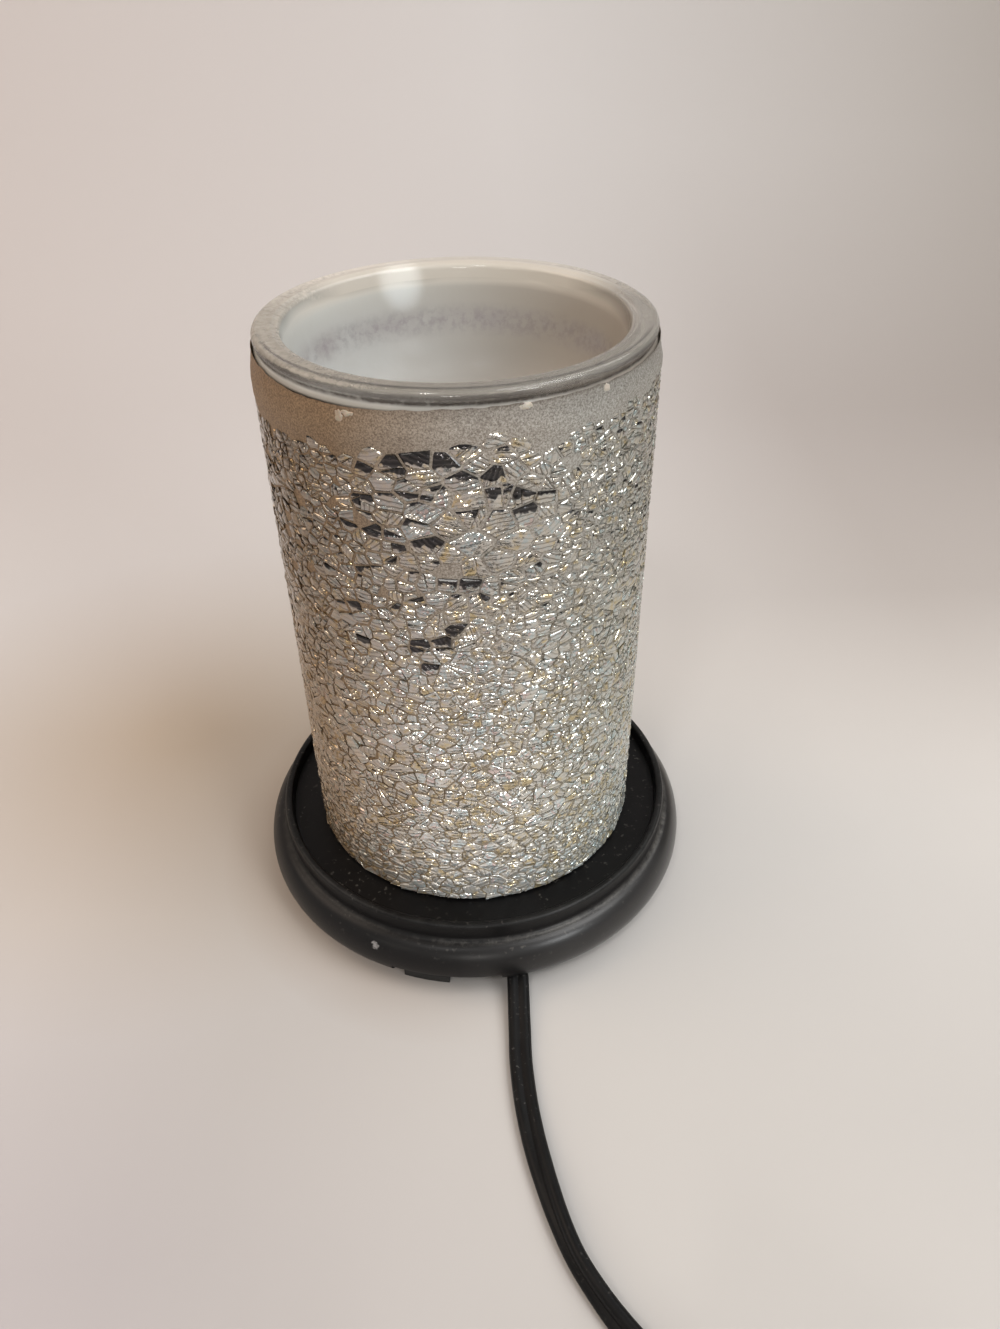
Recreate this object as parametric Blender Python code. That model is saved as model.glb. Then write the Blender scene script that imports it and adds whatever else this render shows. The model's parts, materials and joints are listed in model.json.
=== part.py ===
"""Electric wax warmer: a mosaic glass shade on a moulded base, with a glass dish over a halogen lamp."""

import math
import random

import bmesh
import bpy
from mathutils import Vector

MM = 0.001

# Space between pieces that touch, and space round a shaft or a loose fit
GAP = 0.3 * MM
RUNNING = 0.35 * MM

# Points closer than this are one point
MERGE = 0.001 * MM

# How far a tool runs past the wall that it cuts
CUT_PAST = 2.0 * MM

# From the table to the top of the dish
TOTAL_HEIGHT = 156.0 * MM

# Tools are turned a little, so that their edges don't run into those of the pieces they cut
TOOL_TURN = 9.0

# Segments round a turned piece, by its size
ROUND_LARGE = 48
ROUND_MIDDLE = ROUND_LARGE // 2
ROUND_SHIELD = 36
ROUND_SMALL = 10
TUBE_ROUNDING = 1

# Feet
FOOT_HEIGHT = 2.3 * MM
FOOT_DEPTH = 6.2 * MM
FOOT_INSET = 0.3 * MM
FOOT_ARC = 12.5
FOOT_FIRST_ANGLE = -105.0
FOOT_COUNT = 4

# Bottom cover
COVER_INSET = 3.0 * MM
COVER_PLATE = 2.0 * MM
COVER_EDGE = 1.1 * MM
COVER_CHAMFER = 0.5 * MM
COVER_RIM_HEIGHT = 2.0 * MM
COVER_RIM_WALL = 1.6 * MM
COVER_BOSS_RADIUS = 4.8 * MM
COVER_BOSS_HEIGHT = 2.4 * MM
COVER_VENT_COUNT = 6
COVER_VENT_INNER = 17.0 * MM
COVER_VENT_OUTER = 33.0 * MM
COVER_VENT_WIDTH = 3.0 * MM

# Base housing
BASE_WALL = 2.3 * MM
NOSE_REACH = 5.1 * MM
NOSE_LOWER = 4.2 * MM
NOSE_LOWER_DEPTH = 2.8 * MM
NOSE_UPPER = 7.4 * MM
NOSE_UPPER_DEPTH = 4.8 * MM
DECK_HEIGHT = 14.0 * MM
DECK_THICKNESS = 2.0 * MM
LIP_HEIGHT = 3.0 * MM
LIP_WIDTH = 2.0 * MM
LIP_ROUND = 0.5 * MM
WELL_SPACE = 8.4 * MM
WELL_DRAFT = 0.5 * MM
SPIGOT_HEIGHT = 5.6 * MM
SPIGOT_WALL = 1.6 * MM
DECK_HOLE_RADIUS = 9.0 * MM
DECK_VENT_RADIUS = 2.6 * MM
DECK_VENT_PLACE = 28.0 * MM
DECK_VENT_ANGLES = (60, 120, 240, 300)
RIB_THICKNESS = 1.6 * MM
RIB_DEPTH = 5.0 * MM
RIB_START = 3.0 * MM
RIB_ANGLES = (30, 90, 150, 210, 330)

# Opening in the base's edge that the cord leaves by
NOTCH_FROM = -85.0
NOTCH_TO = -57.0
NOTCH_HEIGHT = 3.2 * MM

# Cover screws
COVER_SCREW_INSET = 13.0 * MM
COVER_SCREW_ANGLES = (0, 120, 240)
COVER_SCREW_RADIUS = 1.4 * MM
COVER_SCREW_LENGTH = 9.0 * MM
COVER_SCREW_HEAD_RADIUS = 2.8 * MM
COVER_SCREW_HEAD = 1.5 * MM
COVER_POST_RADIUS = 3.8 * MM

# Glass shade and its mosaic coat
GLASS_RADIUS = 42.5 * MM
GLASS_WALL = 3.0 * MM
GLASS_ROUND = 0.8 * MM
COAT_THICKNESS = 1.7 * MM
COLLAR_HEIGHT = 2.9 * MM
COLLAR_STEP = 0.7 * MM
COLLAR_CHAMFER = 0.7 * MM
COLLAR_INSET = 0.3 * MM
CHIP_COLUMNS = 32
CHIP_ROWS = 12
CHIP_RELIEF = 0.6 * MM
CHIP_UNEVEN = 0.15 * MM
CHIP_STRAY = 0.26
CHIP_SEED = 7

# Glass dish
DISH_OVERHANG = 0.5 * MM
DISH_FLANGE = 5.1 * MM
DISH_BEAD = 1.3 * MM
DISH_GROOVE = 1.2 * MM
DISH_LOWER_INSET = 0.9 * MM
DISH_MOUTH_FLARE = 0.6 * MM
DISH_DEPTH = 27.5 * MM
DISH_WALL = 2.4 * MM
DISH_FLOOR = 3.0 * MM
DISH_CURVE = 14.0 * MM
DISH_FIT = 0.5 * MM

# Heat shield
SHIELD_THICKNESS = 0.5 * MM
SHIELD_RIM = 3.0 * MM
SHIELD_HOLE_EDGE = 0.5 * MM

# Lamp bracket and its screws
BRACKET_THICKNESS = 1.2 * MM
BRACKET_WIDTH = 16.0 * MM
BRACKET_HEIGHT = 18.6 * MM
BRACKET_SPAN = 36.0 * MM
BRACKET_FOOT = 13.0 * MM
BRACKET_BEND = 1.8 * MM
BRACKET_WIRE_HOLE = 4.9 * MM
BRACKET_SCREW_PLACE = 25.0 * MM
BRACKET_SCREW_RADIUS = 1.9 * MM
BRACKET_SCREW_LENGTH = 10.0 * MM
BRACKET_SCREW_HEAD_RADIUS = 3.5 * MM
BRACKET_SCREW_HEAD = 2.2 * MM
BRACKET_POST_RADIUS = 4.2 * MM

# Lampholder, its screws, nuts and contacts
HOLDER_RADIUS = 14.5 * MM
HOLDER_HEIGHT = 20.0 * MM
HOLDER_CHAMFER = 1.0 * MM
HOLDER_PLATE = 3.3 * MM
CHANNEL_DEPTH = 4.0 * MM
HOLDER_SCREW_PLACE = 10.0 * MM
HOLDER_SCREW_RADIUS = 1.5 * MM
HOLDER_SCREW_HEAD_RADIUS = 2.6 * MM
HOLDER_SCREW_HEAD = 1.5 * MM
HOLDER_SCREW_SINK = 0.4 * MM
HOLDER_NUT_RADIUS = 3.1 * MM
HOLDER_NUT = 2.4 * MM
HOLDER_SCREW_TAIL = 0.8 * MM
WIRE_HOLE_PLACE = 3.4 * MM
CONTACT_THICKNESS = 0.5 * MM
CONTACT_WIDTH = 2.4 * MM
CONTACT_BEND = 0.5 * MM
CONTACT_TAIL = 3.0 * MM
CONTACT_HEEL = 1.7 * MM
CONTACT_TIP = 1.6 * MM
CONTACT_FALL = 0.6 * MM

# Lamp
PIN_PLACE = 5.0 * MM
PIN_RADIUS = 1.45 * MM
PIN_HEAD_RADIUS = 2.4 * MM
PIN_HEAD = 2.3 * MM
PIN_CHAMFER = 0.5 * MM
PIN_ROOT = 1.0 * MM
LAMP_TWIST = 25.0
LAMP_BASE_RADIUS = 10.6 * MM
LAMP_BASE_HEIGHT = 13.0 * MM
LAMP_BASE_CHAMFER = 1.2 * MM
LAMP_RADIUS = 25.0 * MM
LAMP_LENGTH = 50.0 * MM
LAMP_RIM = 3.4 * MM
LAMP_WALL = 1.2 * MM
LAMP_FLOOR = 15.7 * MM

# The reflector's curve, as shares of its way out and up
LAMP_FLARE = ((0.0, 0.0), (0.22, 0.2), (0.52, 0.48), (0.78, 0.72), (0.95, 0.92), (1.0, 1.0))
LAMP_INNER_FLARE = ((0.86, 0.72), (0.60, 0.48), (0.30, 0.2))
LENS_THICKNESS = 1.5 * MM
LENS_EDGE = 0.4 * MM
CAPSULE_RADIUS = 5.4 * MM
CAPSULE_LENGTH = 25.0 * MM
CAPSULE_PRESS = 4.0 * MM
CAPSULE_NECK = 0.8 * MM

# Wires inside the base
WIRE_RADIUS = 1.0 * MM
CAP_RADIUS = 3.4 * MM
CAP_BORE = 2.6 * MM
CAP_LENGTH = 16.0 * MM
CAP_DEPTH = 13.0 * MM
CAP_HEIGHT = 8.8 * MM
CAP_SKIRT = 4.0 * MM
CAP_TAPER = 0.3 * MM
CAP_ROUND = 1.0 * MM
JOINT_Y = -24.0 * MM

# Cord
CORD_WIDTH = 5.6 * MM
CORD_THICKNESS = 2.8 * MM
CORD_REST = 0.1 * MM
CORD_EXIT_X = 9.1 * MM
CORD_POINT_SPACING = 8.4 * MM

# Tilt at which a cord's width is level
FLAT_TILT = 90.0

# Clamp that holds the cord under the deck
CLAMP_INSET = 16.0 * MM
CLAMP_HEIGHT = 9.6 * MM
CLAMP_BAR = 1.4 * MM
CLAMP_BAR_DEPTH = 6.0 * MM
CLAMP_SCREW_SPACING = 16.0 * MM
CLAMP_SCREW_RADIUS = 1.2 * MM
CLAMP_SCREW_LENGTH = 8.0 * MM
CLAMP_SCREW_HEAD_RADIUS = 2.6 * MM
CLAMP_SCREW_HEAD = 1.2 * MM
CLAMP_POST_RADIUS = 3.0 * MM
CLAMP_SEAT_EDGE = 0.5 * MM

# Switch on the cord
SWITCH_PLACE = (62.0 * MM, -183.5 * MM)
SWITCH_DEGREES = -51.7
SWITCH_LENGTH = 54.0 * MM
SWITCH_WIDTH = 21.0 * MM
SWITCH_END_WIDTH = 11.0 * MM
SWITCH_HEIGHT = 16.0 * MM
SWITCH_ROUND = 1.6 * MM
WHEEL_RADIUS = 8.6 * MM
WHEEL_THICKNESS = 4.6 * MM
WHEEL_OFFSET = 4.2 * MM
WHEEL_KNURLS = 20
WHEEL_KNURL_DEPTH = 0.5 * MM
WHEEL_POST_RADIUS = 1.7 * MM
WHEEL_POST_REACH = 2.0 * MM
WHEEL_POST_ROOT = 1.0 * MM
SWITCH_SCREW_PLACE = 16.5 * MM
SWITCH_SCREW_RADIUS = 1.3 * MM
SWITCH_SCREW_HEAD_RADIUS = 2.5 * MM
SWITCH_SCREW_HEAD = 1.4 * MM
SWITCH_SCREW_FLOOR = 2.6 * MM

# Plug
PLUG_PLACE = (-34.0 * MM, -199.7 * MM)
PLUG_DEGREES = 110.0
PLUG_LENGTH = 24.0 * MM
PLUG_WIDTH = 24.0 * MM
PLUG_HEIGHT = 14.0 * MM
PLUG_RELIEF = 16.0 * MM
PLUG_RELIEF_WIDTH = 6.4 * MM
PLUG_RIB_WIDTH = 7.0 * MM
PLUG_RIB_GROWTH = 0.7 * MM
PLUG_RIB_STEP = 0.9 * MM
PLUG_FACE_ROUND = 0.8 * MM

# The plug's swelling shape: shares of its length, width and height
PLUG_SWELL = ((0.0, 0.48, 0.66), (0.1, 0.72, 0.84), (0.3, 0.94, 0.97), (0.55, 1.0, 1.0), (0.94, 1.0, 1.0))
BLADE_SPACING = 12.7 * MM
BLADE_THICKNESS = 1.5 * MM
BLADE_WIDTH = 6.35 * MM
BLADE_WIDE_WIDTH = 7.9 * MM
BLADE_LENGTH = 16.5 * MM
BLADE_SEAT = 7.0 * MM
BLADE_HOLE_RADIUS = 1.6 * MM
BLADE_HOLE_INSET = 4.5 * MM
BLADE_POINT = 1.5 * MM

# Coil
COIL_CENTRE = (12.0 * MM, -206.0 * MM)
COIL_MID_RADIUS = 31.4 * MM
COIL_PITCH = 3.4 * MM
COIL_LAYER_GAP = 0.5 * MM
COIL_TURNS = 6.125
COIL_CLIMB_TURNS = 0.5
COIL_CLIMB_DIP = 1.6 * MM
COIL_START_ANGLE = -90.0
COIL_POINTS_A_TURN = 22

# Heights that follow from the sizes above
COVER_BOTTOM = FOOT_HEIGHT + GAP
COVER_TOP = COVER_BOTTOM + COVER_PLATE
HOUSING_BOTTOM = COVER_BOTTOM + COVER_EDGE + GAP
NOSE_HEIGHT = HOUSING_BOTTOM + NOSE_LOWER
DECK_TOP = HOUSING_BOTTOM + DECK_HEIGHT
DECK_BOTTOM = DECK_TOP - DECK_THICKNESS
LIP_TOP = DECK_TOP + LIP_HEIGHT
GLASS_BOTTOM = DECK_TOP + GAP
DISH_TOP = TOTAL_HEIGHT
DISH_SEAT = DISH_TOP - DISH_FLANGE
GLASS_TOP = DISH_SEAT - GAP
SHIELD_TOP = DECK_TOP + GAP + SHIELD_THICKNESS
BRACKET_BOTTOM = SHIELD_TOP + GAP
BRACKET_TOP = BRACKET_BOTTOM + BRACKET_HEIGHT
BRACKET_FOOT_TOP = BRACKET_BOTTOM + BRACKET_THICKNESS
HOLDER_BOTTOM = BRACKET_TOP + GAP
HOLDER_TOP = HOLDER_BOTTOM + HOLDER_HEIGHT
HOLDER_PLATE_BOTTOM = HOLDER_TOP - HOLDER_PLATE
HOLDER_BODY_TOP = HOLDER_PLATE_BOTTOM - GAP
PIN_HEAD_TOP = HOLDER_PLATE_BOTTOM - GAP
PIN_HEAD_BOTTOM = PIN_HEAD_TOP - PIN_HEAD
CHANNEL_BOTTOM = PIN_HEAD_BOTTOM - CHANNEL_DEPTH
LAMP_BOTTOM = HOLDER_TOP + GAP
LAMP_TOP = LAMP_BOTTOM + LAMP_LENGTH
COVER_POST_BOTTOM = COVER_TOP + COVER_BOSS_HEIGHT + GAP
CLAMP_SEAT = CLAMP_HEIGHT + CORD_THICKNESS / 2 + GAP
CLAMP_BAR_TOP = CLAMP_HEIGHT - CORD_THICKNESS / 2 - GAP

# Radii that follow from the sizes above
GLASS_INNER = GLASS_RADIUS - GLASS_WALL
COAT_INNER = GLASS_RADIUS + GAP
COAT_RADIUS = COAT_INNER + COAT_THICKNESS
COAT_TOP = GLASS_TOP - GLASS_ROUND
WELL_RADIUS = COAT_RADIUS + WELL_SPACE
LIP_RADIUS = WELL_RADIUS + LIP_WIDTH
BASE_RADIUS = LIP_RADIUS + NOSE_REACH
COVER_RADIUS = BASE_RADIUS - COVER_INSET
COVER_SCREW_PLACE = COVER_RADIUS - COVER_SCREW_INSET
CLAMP_Y = CLAMP_INSET - COVER_RADIUS
SPIGOT_RADIUS = GLASS_INNER - GAP
SPIGOT_INNER = SPIGOT_RADIUS - SPIGOT_WALL
HOUSING_INNER = BASE_RADIUS - NOSE_LOWER_DEPTH - BASE_WALL
COVER_RIM_RADIUS = HOUSING_INNER - GAP
DISH_RADIUS = GLASS_RADIUS + DISH_OVERHANG
DISH_WALL_RADIUS = GLASS_INNER - DISH_FIT
DISH_INNER = DISH_WALL_RADIUS - DISH_WALL
DISH_FLOOR_RADIUS = DISH_WALL_RADIUS - DISH_CURVE
CHANNEL_HALF_WIDTH = PIN_HEAD_RADIUS + RUNNING
SLOT_HALF_WIDTH = PIN_RADIUS + RUNNING


def clear_scene():
    for item in list(bpy.data.objects):
        bpy.data.objects.remove(item, do_unlink=True)


def paint(name, colour, roughness, metallic=0.0, transmission=0.0):
    """A plain material of one colour."""
    made = bpy.data.materials.new(name)
    made.use_nodes = True
    shader = made.node_tree.nodes["Principled BSDF"]
    shader.inputs["Base Color"].default_value = (*colour, 1.0)
    shader.inputs["Roughness"].default_value = roughness
    shader.inputs["Metallic"].default_value = metallic
    shader.inputs["Transmission Weight"].default_value = transmission
    made.diffuse_color = (*colour, 1.0)
    return made


BLACK_PLASTIC = ((0.02, 0.02, 0.023), 0.4)
BLACK_RUBBER = ((0.015, 0.015, 0.016), 0.7)
CORD_PLASTIC = ((0.012, 0.012, 0.013), 0.45)
CLEAR_GLASS = ((0.9, 0.92, 0.9), 0.08, 0.0, 0.9)
GROUT = ((0.42, 0.39, 0.35), 0.6, 0.3)
STEEL = ((0.6, 0.6, 0.6), 0.35, 1.0)
ALUMINIUM = ((0.8, 0.8, 0.8), 0.25, 1.0)
BRASS = ((0.75, 0.6, 0.3), 0.3, 1.0)
CERAMIC = ((0.82, 0.79, 0.72), 0.5)
WHITE_SLEEVE = ((0.8, 0.8, 0.78), 0.6)


def stand(name, mesh, look, parent=None):
    """Puts a finished mesh in the scene under its own name and material."""
    item = bpy.data.objects.new(name, mesh)
    bpy.context.scene.collection.objects.link(item)
    if look:
        item.data.materials.append(paint(name, *look))
    item.parent = parent
    return item


def mesh_from(shape, name, sharp=32.0):
    """Turns a bmesh into a mesh with its faces outwards and its round sides smooth."""
    bmesh.ops.recalc_face_normals(shape, faces=shape.faces)
    mesh = bpy.data.meshes.new(name)
    shape.to_mesh(mesh)
    shape.free()
    mesh.shade_smooth()
    mesh.set_sharp_from_angle(angle=math.radians(sharp))
    return mesh


def polar(radius, degrees, height=0.0):
    turn = math.radians(degrees)
    return Vector((radius * math.cos(turn), radius * math.sin(turn), height))


def arc(centre, radii, start, end, steps):
    """Points of an elliptical arc in an outline, from start to end in degrees."""
    points = []
    for step in range(steps + 1):
        turn = math.radians(start + (end - start) * step / steps)
        points.append((centre[0] + radii[0] * math.cos(turn), centre[1] + radii[1] * math.sin(turn)))
    return points


def turned_mesh(name, outline, segments):
    """Spins a closed outline of (radius, height) points about the vertical axis."""
    shape = bmesh.new()
    points = []
    for radius, height in outline:
        on_axis = radius < MERGE
        points.append(shape.verts.new((0.0 if on_axis else radius, 0.0, height)))
    edges = []
    for first, second in zip(points, points[1:] + points[:1]):
        if first.co.x > 0.0 or second.co.x > 0.0:
            edges.append(shape.edges.new((first, second)))
    bmesh.ops.spin(
        shape, geom=points + edges, cent=(0, 0, 0), axis=(0, 0, 1), angle=math.tau, steps=segments
    )
    bmesh.ops.remove_doubles(shape, verts=shape.verts, dist=MERGE)
    flat_middles = [point for point in shape.verts if is_flat_middle(point)]
    bmesh.ops.dissolve_verts(shape, verts=flat_middles)
    return mesh_from(shape, name)


def is_flat_middle(point):
    """Whether a point on the axis lies in the middle of a flat end."""
    if point.co.xy.length > MERGE:
        return False
    return all(abs(edge.other_vert(point).co.z - point.co.z) < MERGE for edge in point.link_edges)


def turned(name, outline, look, segments=ROUND_LARGE, parent=None):
    return stand(name, turned_mesh(name, outline, segments), look, parent)


def prism_mesh(name, outline, low, high):
    """Raises a closed outline of (x, y) points from one height to another."""
    shape = bmesh.new()
    face = shape.faces.new([shape.verts.new((x, y, low)) for x, y in outline])
    raised = bmesh.ops.extrude_face_region(shape, geom=[face])
    top = [part for part in raised["geom"] if isinstance(part, bmesh.types.BMVert)]
    bmesh.ops.translate(shape, verts=top, vec=(0, 0, high - low))
    return mesh_from(shape, name)


def prism(name, outline, low, high, look=None, parent=None):
    return stand(name, prism_mesh(name, outline, low, high), look, parent)


def rod_outline(radius, low, high):
    return [(0.0, low), (radius, low), (radius, high), (0.0, high)]


def sector(inner, outer, start, end, steps):
    """The outline of a piece of a ring seen from above."""
    far = arc((0, 0), (outer, outer), start, end, steps)
    near = arc((0, 0), (inner, inner), end, start, steps)
    return far + near


def rectangle(length, width):
    corners = ((-1, -1), (1, -1), (1, 1), (-1, 1))
    return [(sx * length / 2, sy * width / 2) for sx, sy in corners]


def tool(name, mesh, place=(0, 0, 0), degrees=0.0, parent=None):
    """A shape that only cuts or joins, left out of the finished part."""
    item = stand(name, mesh, None, parent)
    item.location = place
    item.rotation_euler.z = math.radians(degrees)
    item.hide_render = True
    item.display_type = "WIRE"
    return item


def turned_tool(name, outline, place=(0, 0), segments=ROUND_SMALL, parent=None):
    mesh = turned_mesh(name, outline, segments)
    return tool(name, mesh, (place[0], place[1], 0), TOOL_TURN, parent)


def rod_tool(name, radius, low, high, place=(0, 0), segments=ROUND_SMALL, parent=None):
    return turned_tool(name, rod_outline(radius, low, high), place, segments, parent)


def work(target, helper, operation):
    step = target.modifiers.new(helper.name, "BOOLEAN")
    step.operation = operation
    step.solver = "EXACT"
    step.object = helper


def cut(target, helper):
    work(target, helper, "DIFFERENCE")


def fuse(target, helper):
    work(target, helper, "UNION")


def smooth_route(points, spacing):
    """Reads a smooth curve through the route's points at an even spacing; a point may hold extra values."""
    fine = []
    last = len(points) - 1
    for index in range(last):
        ends = [points[max(index - 1, 0)], points[index], points[index + 1], points[min(index + 2, last)]]
        for step in range(16):
            fine.append(between(ends, step / 16))
    fine.append(list(points[-1]))
    length = 0.0
    marks = [0.0]
    for first, second in zip(fine, fine[1:]):
        length += math.dist(first[:3], second[:3])
        marks.append(length)
    count = max(2, round(length / spacing))
    route = []
    index = 0
    for step in range(count + 1):
        mark = length * step / count
        while index < len(marks) - 2 and marks[index + 1] < mark:
            index += 1
        share = (mark - marks[index]) / (marks[index + 1] - marks[index])
        route.append([a + (b - a) * share for a, b in zip(fine[index], fine[index + 1])])
    return route


def between(ends, share):
    """A point of the curve that passes through the middle two of four points."""
    weights = (
        -0.5 * share + share**2 - 0.5 * share**3,
        1.0 - 2.5 * share**2 + 1.5 * share**3,
        0.5 * share + 2.0 * share**2 - 1.5 * share**3,
        -0.5 * share**2 + 0.5 * share**3,
    )
    return [sum(weight * value for weight, value in zip(weights, values)) for values in zip(*ends)]


def line_curve(name, route, look, radius, flat=0.0, parent=None):
    """A tube along a route; flat is half the extra width, and a fourth value of a point is its roll."""
    line = bpy.data.curves.new(name, "CURVE")
    line.dimensions = "3D"
    line.twist_mode = "Z_UP"
    line.bevel_depth = radius
    line.bevel_resolution = TUBE_ROUNDING
    line.extrude = flat
    line.use_fill_caps = True
    spline = line.splines.new("POLY")
    spline.points.add(len(route) - 1)
    for point, place in zip(spline.points, route):
        point.co = (*place[:3], 1.0)
        point.tilt = math.radians(place[3]) if len(place) > 3 else 0.0
    return stand(name, line, look, parent)


def wire(name, points, look=WHITE_SLEEVE):
    return line_curve(name, smooth_route(points, 4 * WIRE_RADIUS), look, WIRE_RADIUS)


def flat_cord(name, route):
    half_thickness = CORD_THICKNESS / 2
    return line_curve(name, route, CORD_PLASTIC, half_thickness, CORD_WIDTH / 2 - half_thickness)


def lying(x, y, roll, lift=0.0):
    """A cord point on the table: the roll is 0 where the cord lies flat and 90 where it is on edge."""
    half_thickness = CORD_THICKNESS / 2
    rise = (CORD_WIDTH / 2 - half_thickness) * abs(math.sin(math.radians(roll)))
    return (x * MM, y * MM, CORD_REST + half_thickness + rise + lift * MM, roll + FLAT_TILT)


def route_length(route):
    return sum(math.dist(first[:3], second[:3]) for first, second in zip(route, route[1:]))


def screw(name, place, shank_radius, shank_from, head_from, head_radius, head, look=STEEL, parent=None):
    """A pan head screw; it points down when its head is above its shank's far end, and up otherwise."""
    side = 1.0 if head_from > shank_from else -1.0
    outline = [
        (0.0, shank_from),
        (shank_radius, shank_from + side * shank_radius),
        (shank_radius, head_from),
        (head_radius, head_from),
        (head_radius, head_from + side * head * 0.45),
        (head_radius * 0.72, head_from + side * head),
        (0.0, head_from + side * head),
    ]
    made = turned(name, outline, look, ROUND_SMALL, parent)
    made.location = (place[0], place[1], 0)
    return made


def make_feet():
    outer = COVER_RADIUS - FOOT_INSET
    half = FOOT_ARC / 2
    outline = sector(outer - FOOT_DEPTH, outer, -half, half, 4)
    mesh = prism_mesh("foot", outline, 0.0, FOOT_HEIGHT)
    for index in range(FOOT_COUNT):
        foot = stand(f"foot_{index + 1}", mesh.copy(), BLACK_RUBBER)
        foot.rotation_euler.z = math.radians(FOOT_FIRST_ANGLE + index * 360.0 / FOOT_COUNT)


def make_bottom_cover():
    rim_top = COVER_TOP + COVER_RIM_HEIGHT
    edge_top = COVER_BOTTOM + COVER_EDGE
    outline = [
        (0.0, COVER_BOTTOM),
        (COVER_RADIUS - COVER_CHAMFER, COVER_BOTTOM),
        (COVER_RADIUS, COVER_BOTTOM + COVER_CHAMFER),
        (COVER_RADIUS, edge_top),
        (COVER_RIM_RADIUS, edge_top),
        (COVER_RIM_RADIUS, rim_top),
        (COVER_RIM_RADIUS - COVER_RIM_WALL, rim_top),
        (COVER_RIM_RADIUS - COVER_RIM_WALL, COVER_TOP),
        (0.0, COVER_TOP),
    ]
    cover = turned("bottom_cover", outline, BLACK_PLASTIC)
    boss_low = COVER_BOTTOM + COVER_PLATE / 2
    for index, angle in enumerate(COVER_SCREW_ANGLES):
        place = polar(COVER_SCREW_PLACE, angle)
        boss = rod_tool(
            f"cover_boss_{index}", COVER_BOSS_RADIUS, boss_low, COVER_TOP + COVER_BOSS_HEIGHT, place, 16
        )
        fuse(cover, boss)
    for index, angle in enumerate(COVER_SCREW_ANGLES):
        place = polar(COVER_SCREW_PLACE, angle)
        seat = COVER_BOTTOM + COVER_SCREW_HEAD + GAP
        bore = [
            (0.0, 0.0),
            (COVER_SCREW_HEAD_RADIUS + GAP, 0.0),
            (COVER_SCREW_HEAD_RADIUS + GAP, seat),
            (COVER_SCREW_RADIUS + GAP, seat),
            (COVER_SCREW_RADIUS + GAP, DECK_BOTTOM),
            (0.0, DECK_BOTTOM),
        ]
        cut(cover, turned_tool(f"cover_bore_{index}", bore, place))
        top = COVER_BOTTOM + COVER_SCREW_LENGTH + COVER_SCREW_HEAD
        screw(
            f"cover_screw_{index + 1}", place, COVER_SCREW_RADIUS, top, seat - GAP,
            COVER_SCREW_HEAD_RADIUS, COVER_SCREW_HEAD,
        )
    length = COVER_VENT_OUTER - COVER_VENT_INNER
    slot = rectangle(length, COVER_VENT_WIDTH)
    for index in range(COVER_VENT_COUNT):
        angle = (index + 0.5) * 360.0 / COVER_VENT_COUNT
        place = polar(COVER_VENT_INNER + length / 2, angle)
        mesh = prism_mesh("cover_vent", slot, 0.0, COVER_TOP + GAP)
        cut(cover, tool(f"cover_vent_{index}", mesh, place, angle))
    cut(cover, notch_tool("cover_notch", COVER_RIM_RADIUS - COVER_RIM_WALL - CUT_PAST, 0.0))


def notch_tool(name, inner, low):
    outline = sector(inner, BASE_RADIUS + CUT_PAST, NOTCH_FROM, NOTCH_TO, 6)
    return tool(name, prism_mesh(name, outline, low, HOUSING_BOTTOM + NOTCH_HEIGHT))


def make_base_housing():
    nose_top = NOSE_HEIGHT + NOSE_UPPER
    outline = [
        (DECK_HOLE_RADIUS, DECK_BOTTOM),
        (DECK_HOLE_RADIUS, DECK_TOP),
        (SPIGOT_INNER, DECK_TOP),
        (SPIGOT_INNER, DECK_TOP + SPIGOT_HEIGHT),
        (SPIGOT_RADIUS - LIP_ROUND, DECK_TOP + SPIGOT_HEIGHT),
        (SPIGOT_RADIUS, DECK_TOP + SPIGOT_HEIGHT - 2 * LIP_ROUND),
        (SPIGOT_RADIUS, DECK_TOP),
        (WELL_RADIUS - WELL_DRAFT, DECK_TOP),
        (WELL_RADIUS, LIP_TOP - LIP_ROUND),
        (WELL_RADIUS + LIP_ROUND, LIP_TOP),
        (LIP_RADIUS - LIP_ROUND, LIP_TOP),
        (LIP_RADIUS, LIP_TOP - LIP_ROUND),
        (LIP_RADIUS, nose_top + LIP_ROUND),
    ]
    nose_centre = (BASE_RADIUS - NOSE_UPPER_DEPTH, NOSE_HEIGHT)
    outline += arc(nose_centre, (NOSE_UPPER_DEPTH, NOSE_UPPER), 82, 0, 5)
    lower_centre = (BASE_RADIUS - NOSE_LOWER_DEPTH, NOSE_HEIGHT)
    outline += arc(lower_centre, (NOSE_LOWER_DEPTH, NOSE_LOWER), -30, -90, 2)
    outline += [
        (HOUSING_INNER, HOUSING_BOTTOM),
        (HOUSING_INNER, NOSE_HEIGHT + NOSE_LOWER),
        (LIP_RADIUS - BASE_WALL, DECK_BOTTOM),
    ]
    housing = turned("base_housing", outline, BLACK_PLASTIC)
    add_housing_ribs(housing)
    add_housing_posts(housing)
    for index, angle in enumerate(DECK_VENT_ANGLES):
        place = polar(DECK_VENT_PLACE, angle)
        low = DECK_BOTTOM - GAP
        cut(housing, rod_tool(f"deck_vent_{index}", DECK_VENT_RADIUS, low, SHIELD_TOP, place))
    cut(housing, notch_tool("housing_notch", HOUSING_INNER - CUT_PAST, HOUSING_BOTTOM - CUT_PAST))


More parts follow.
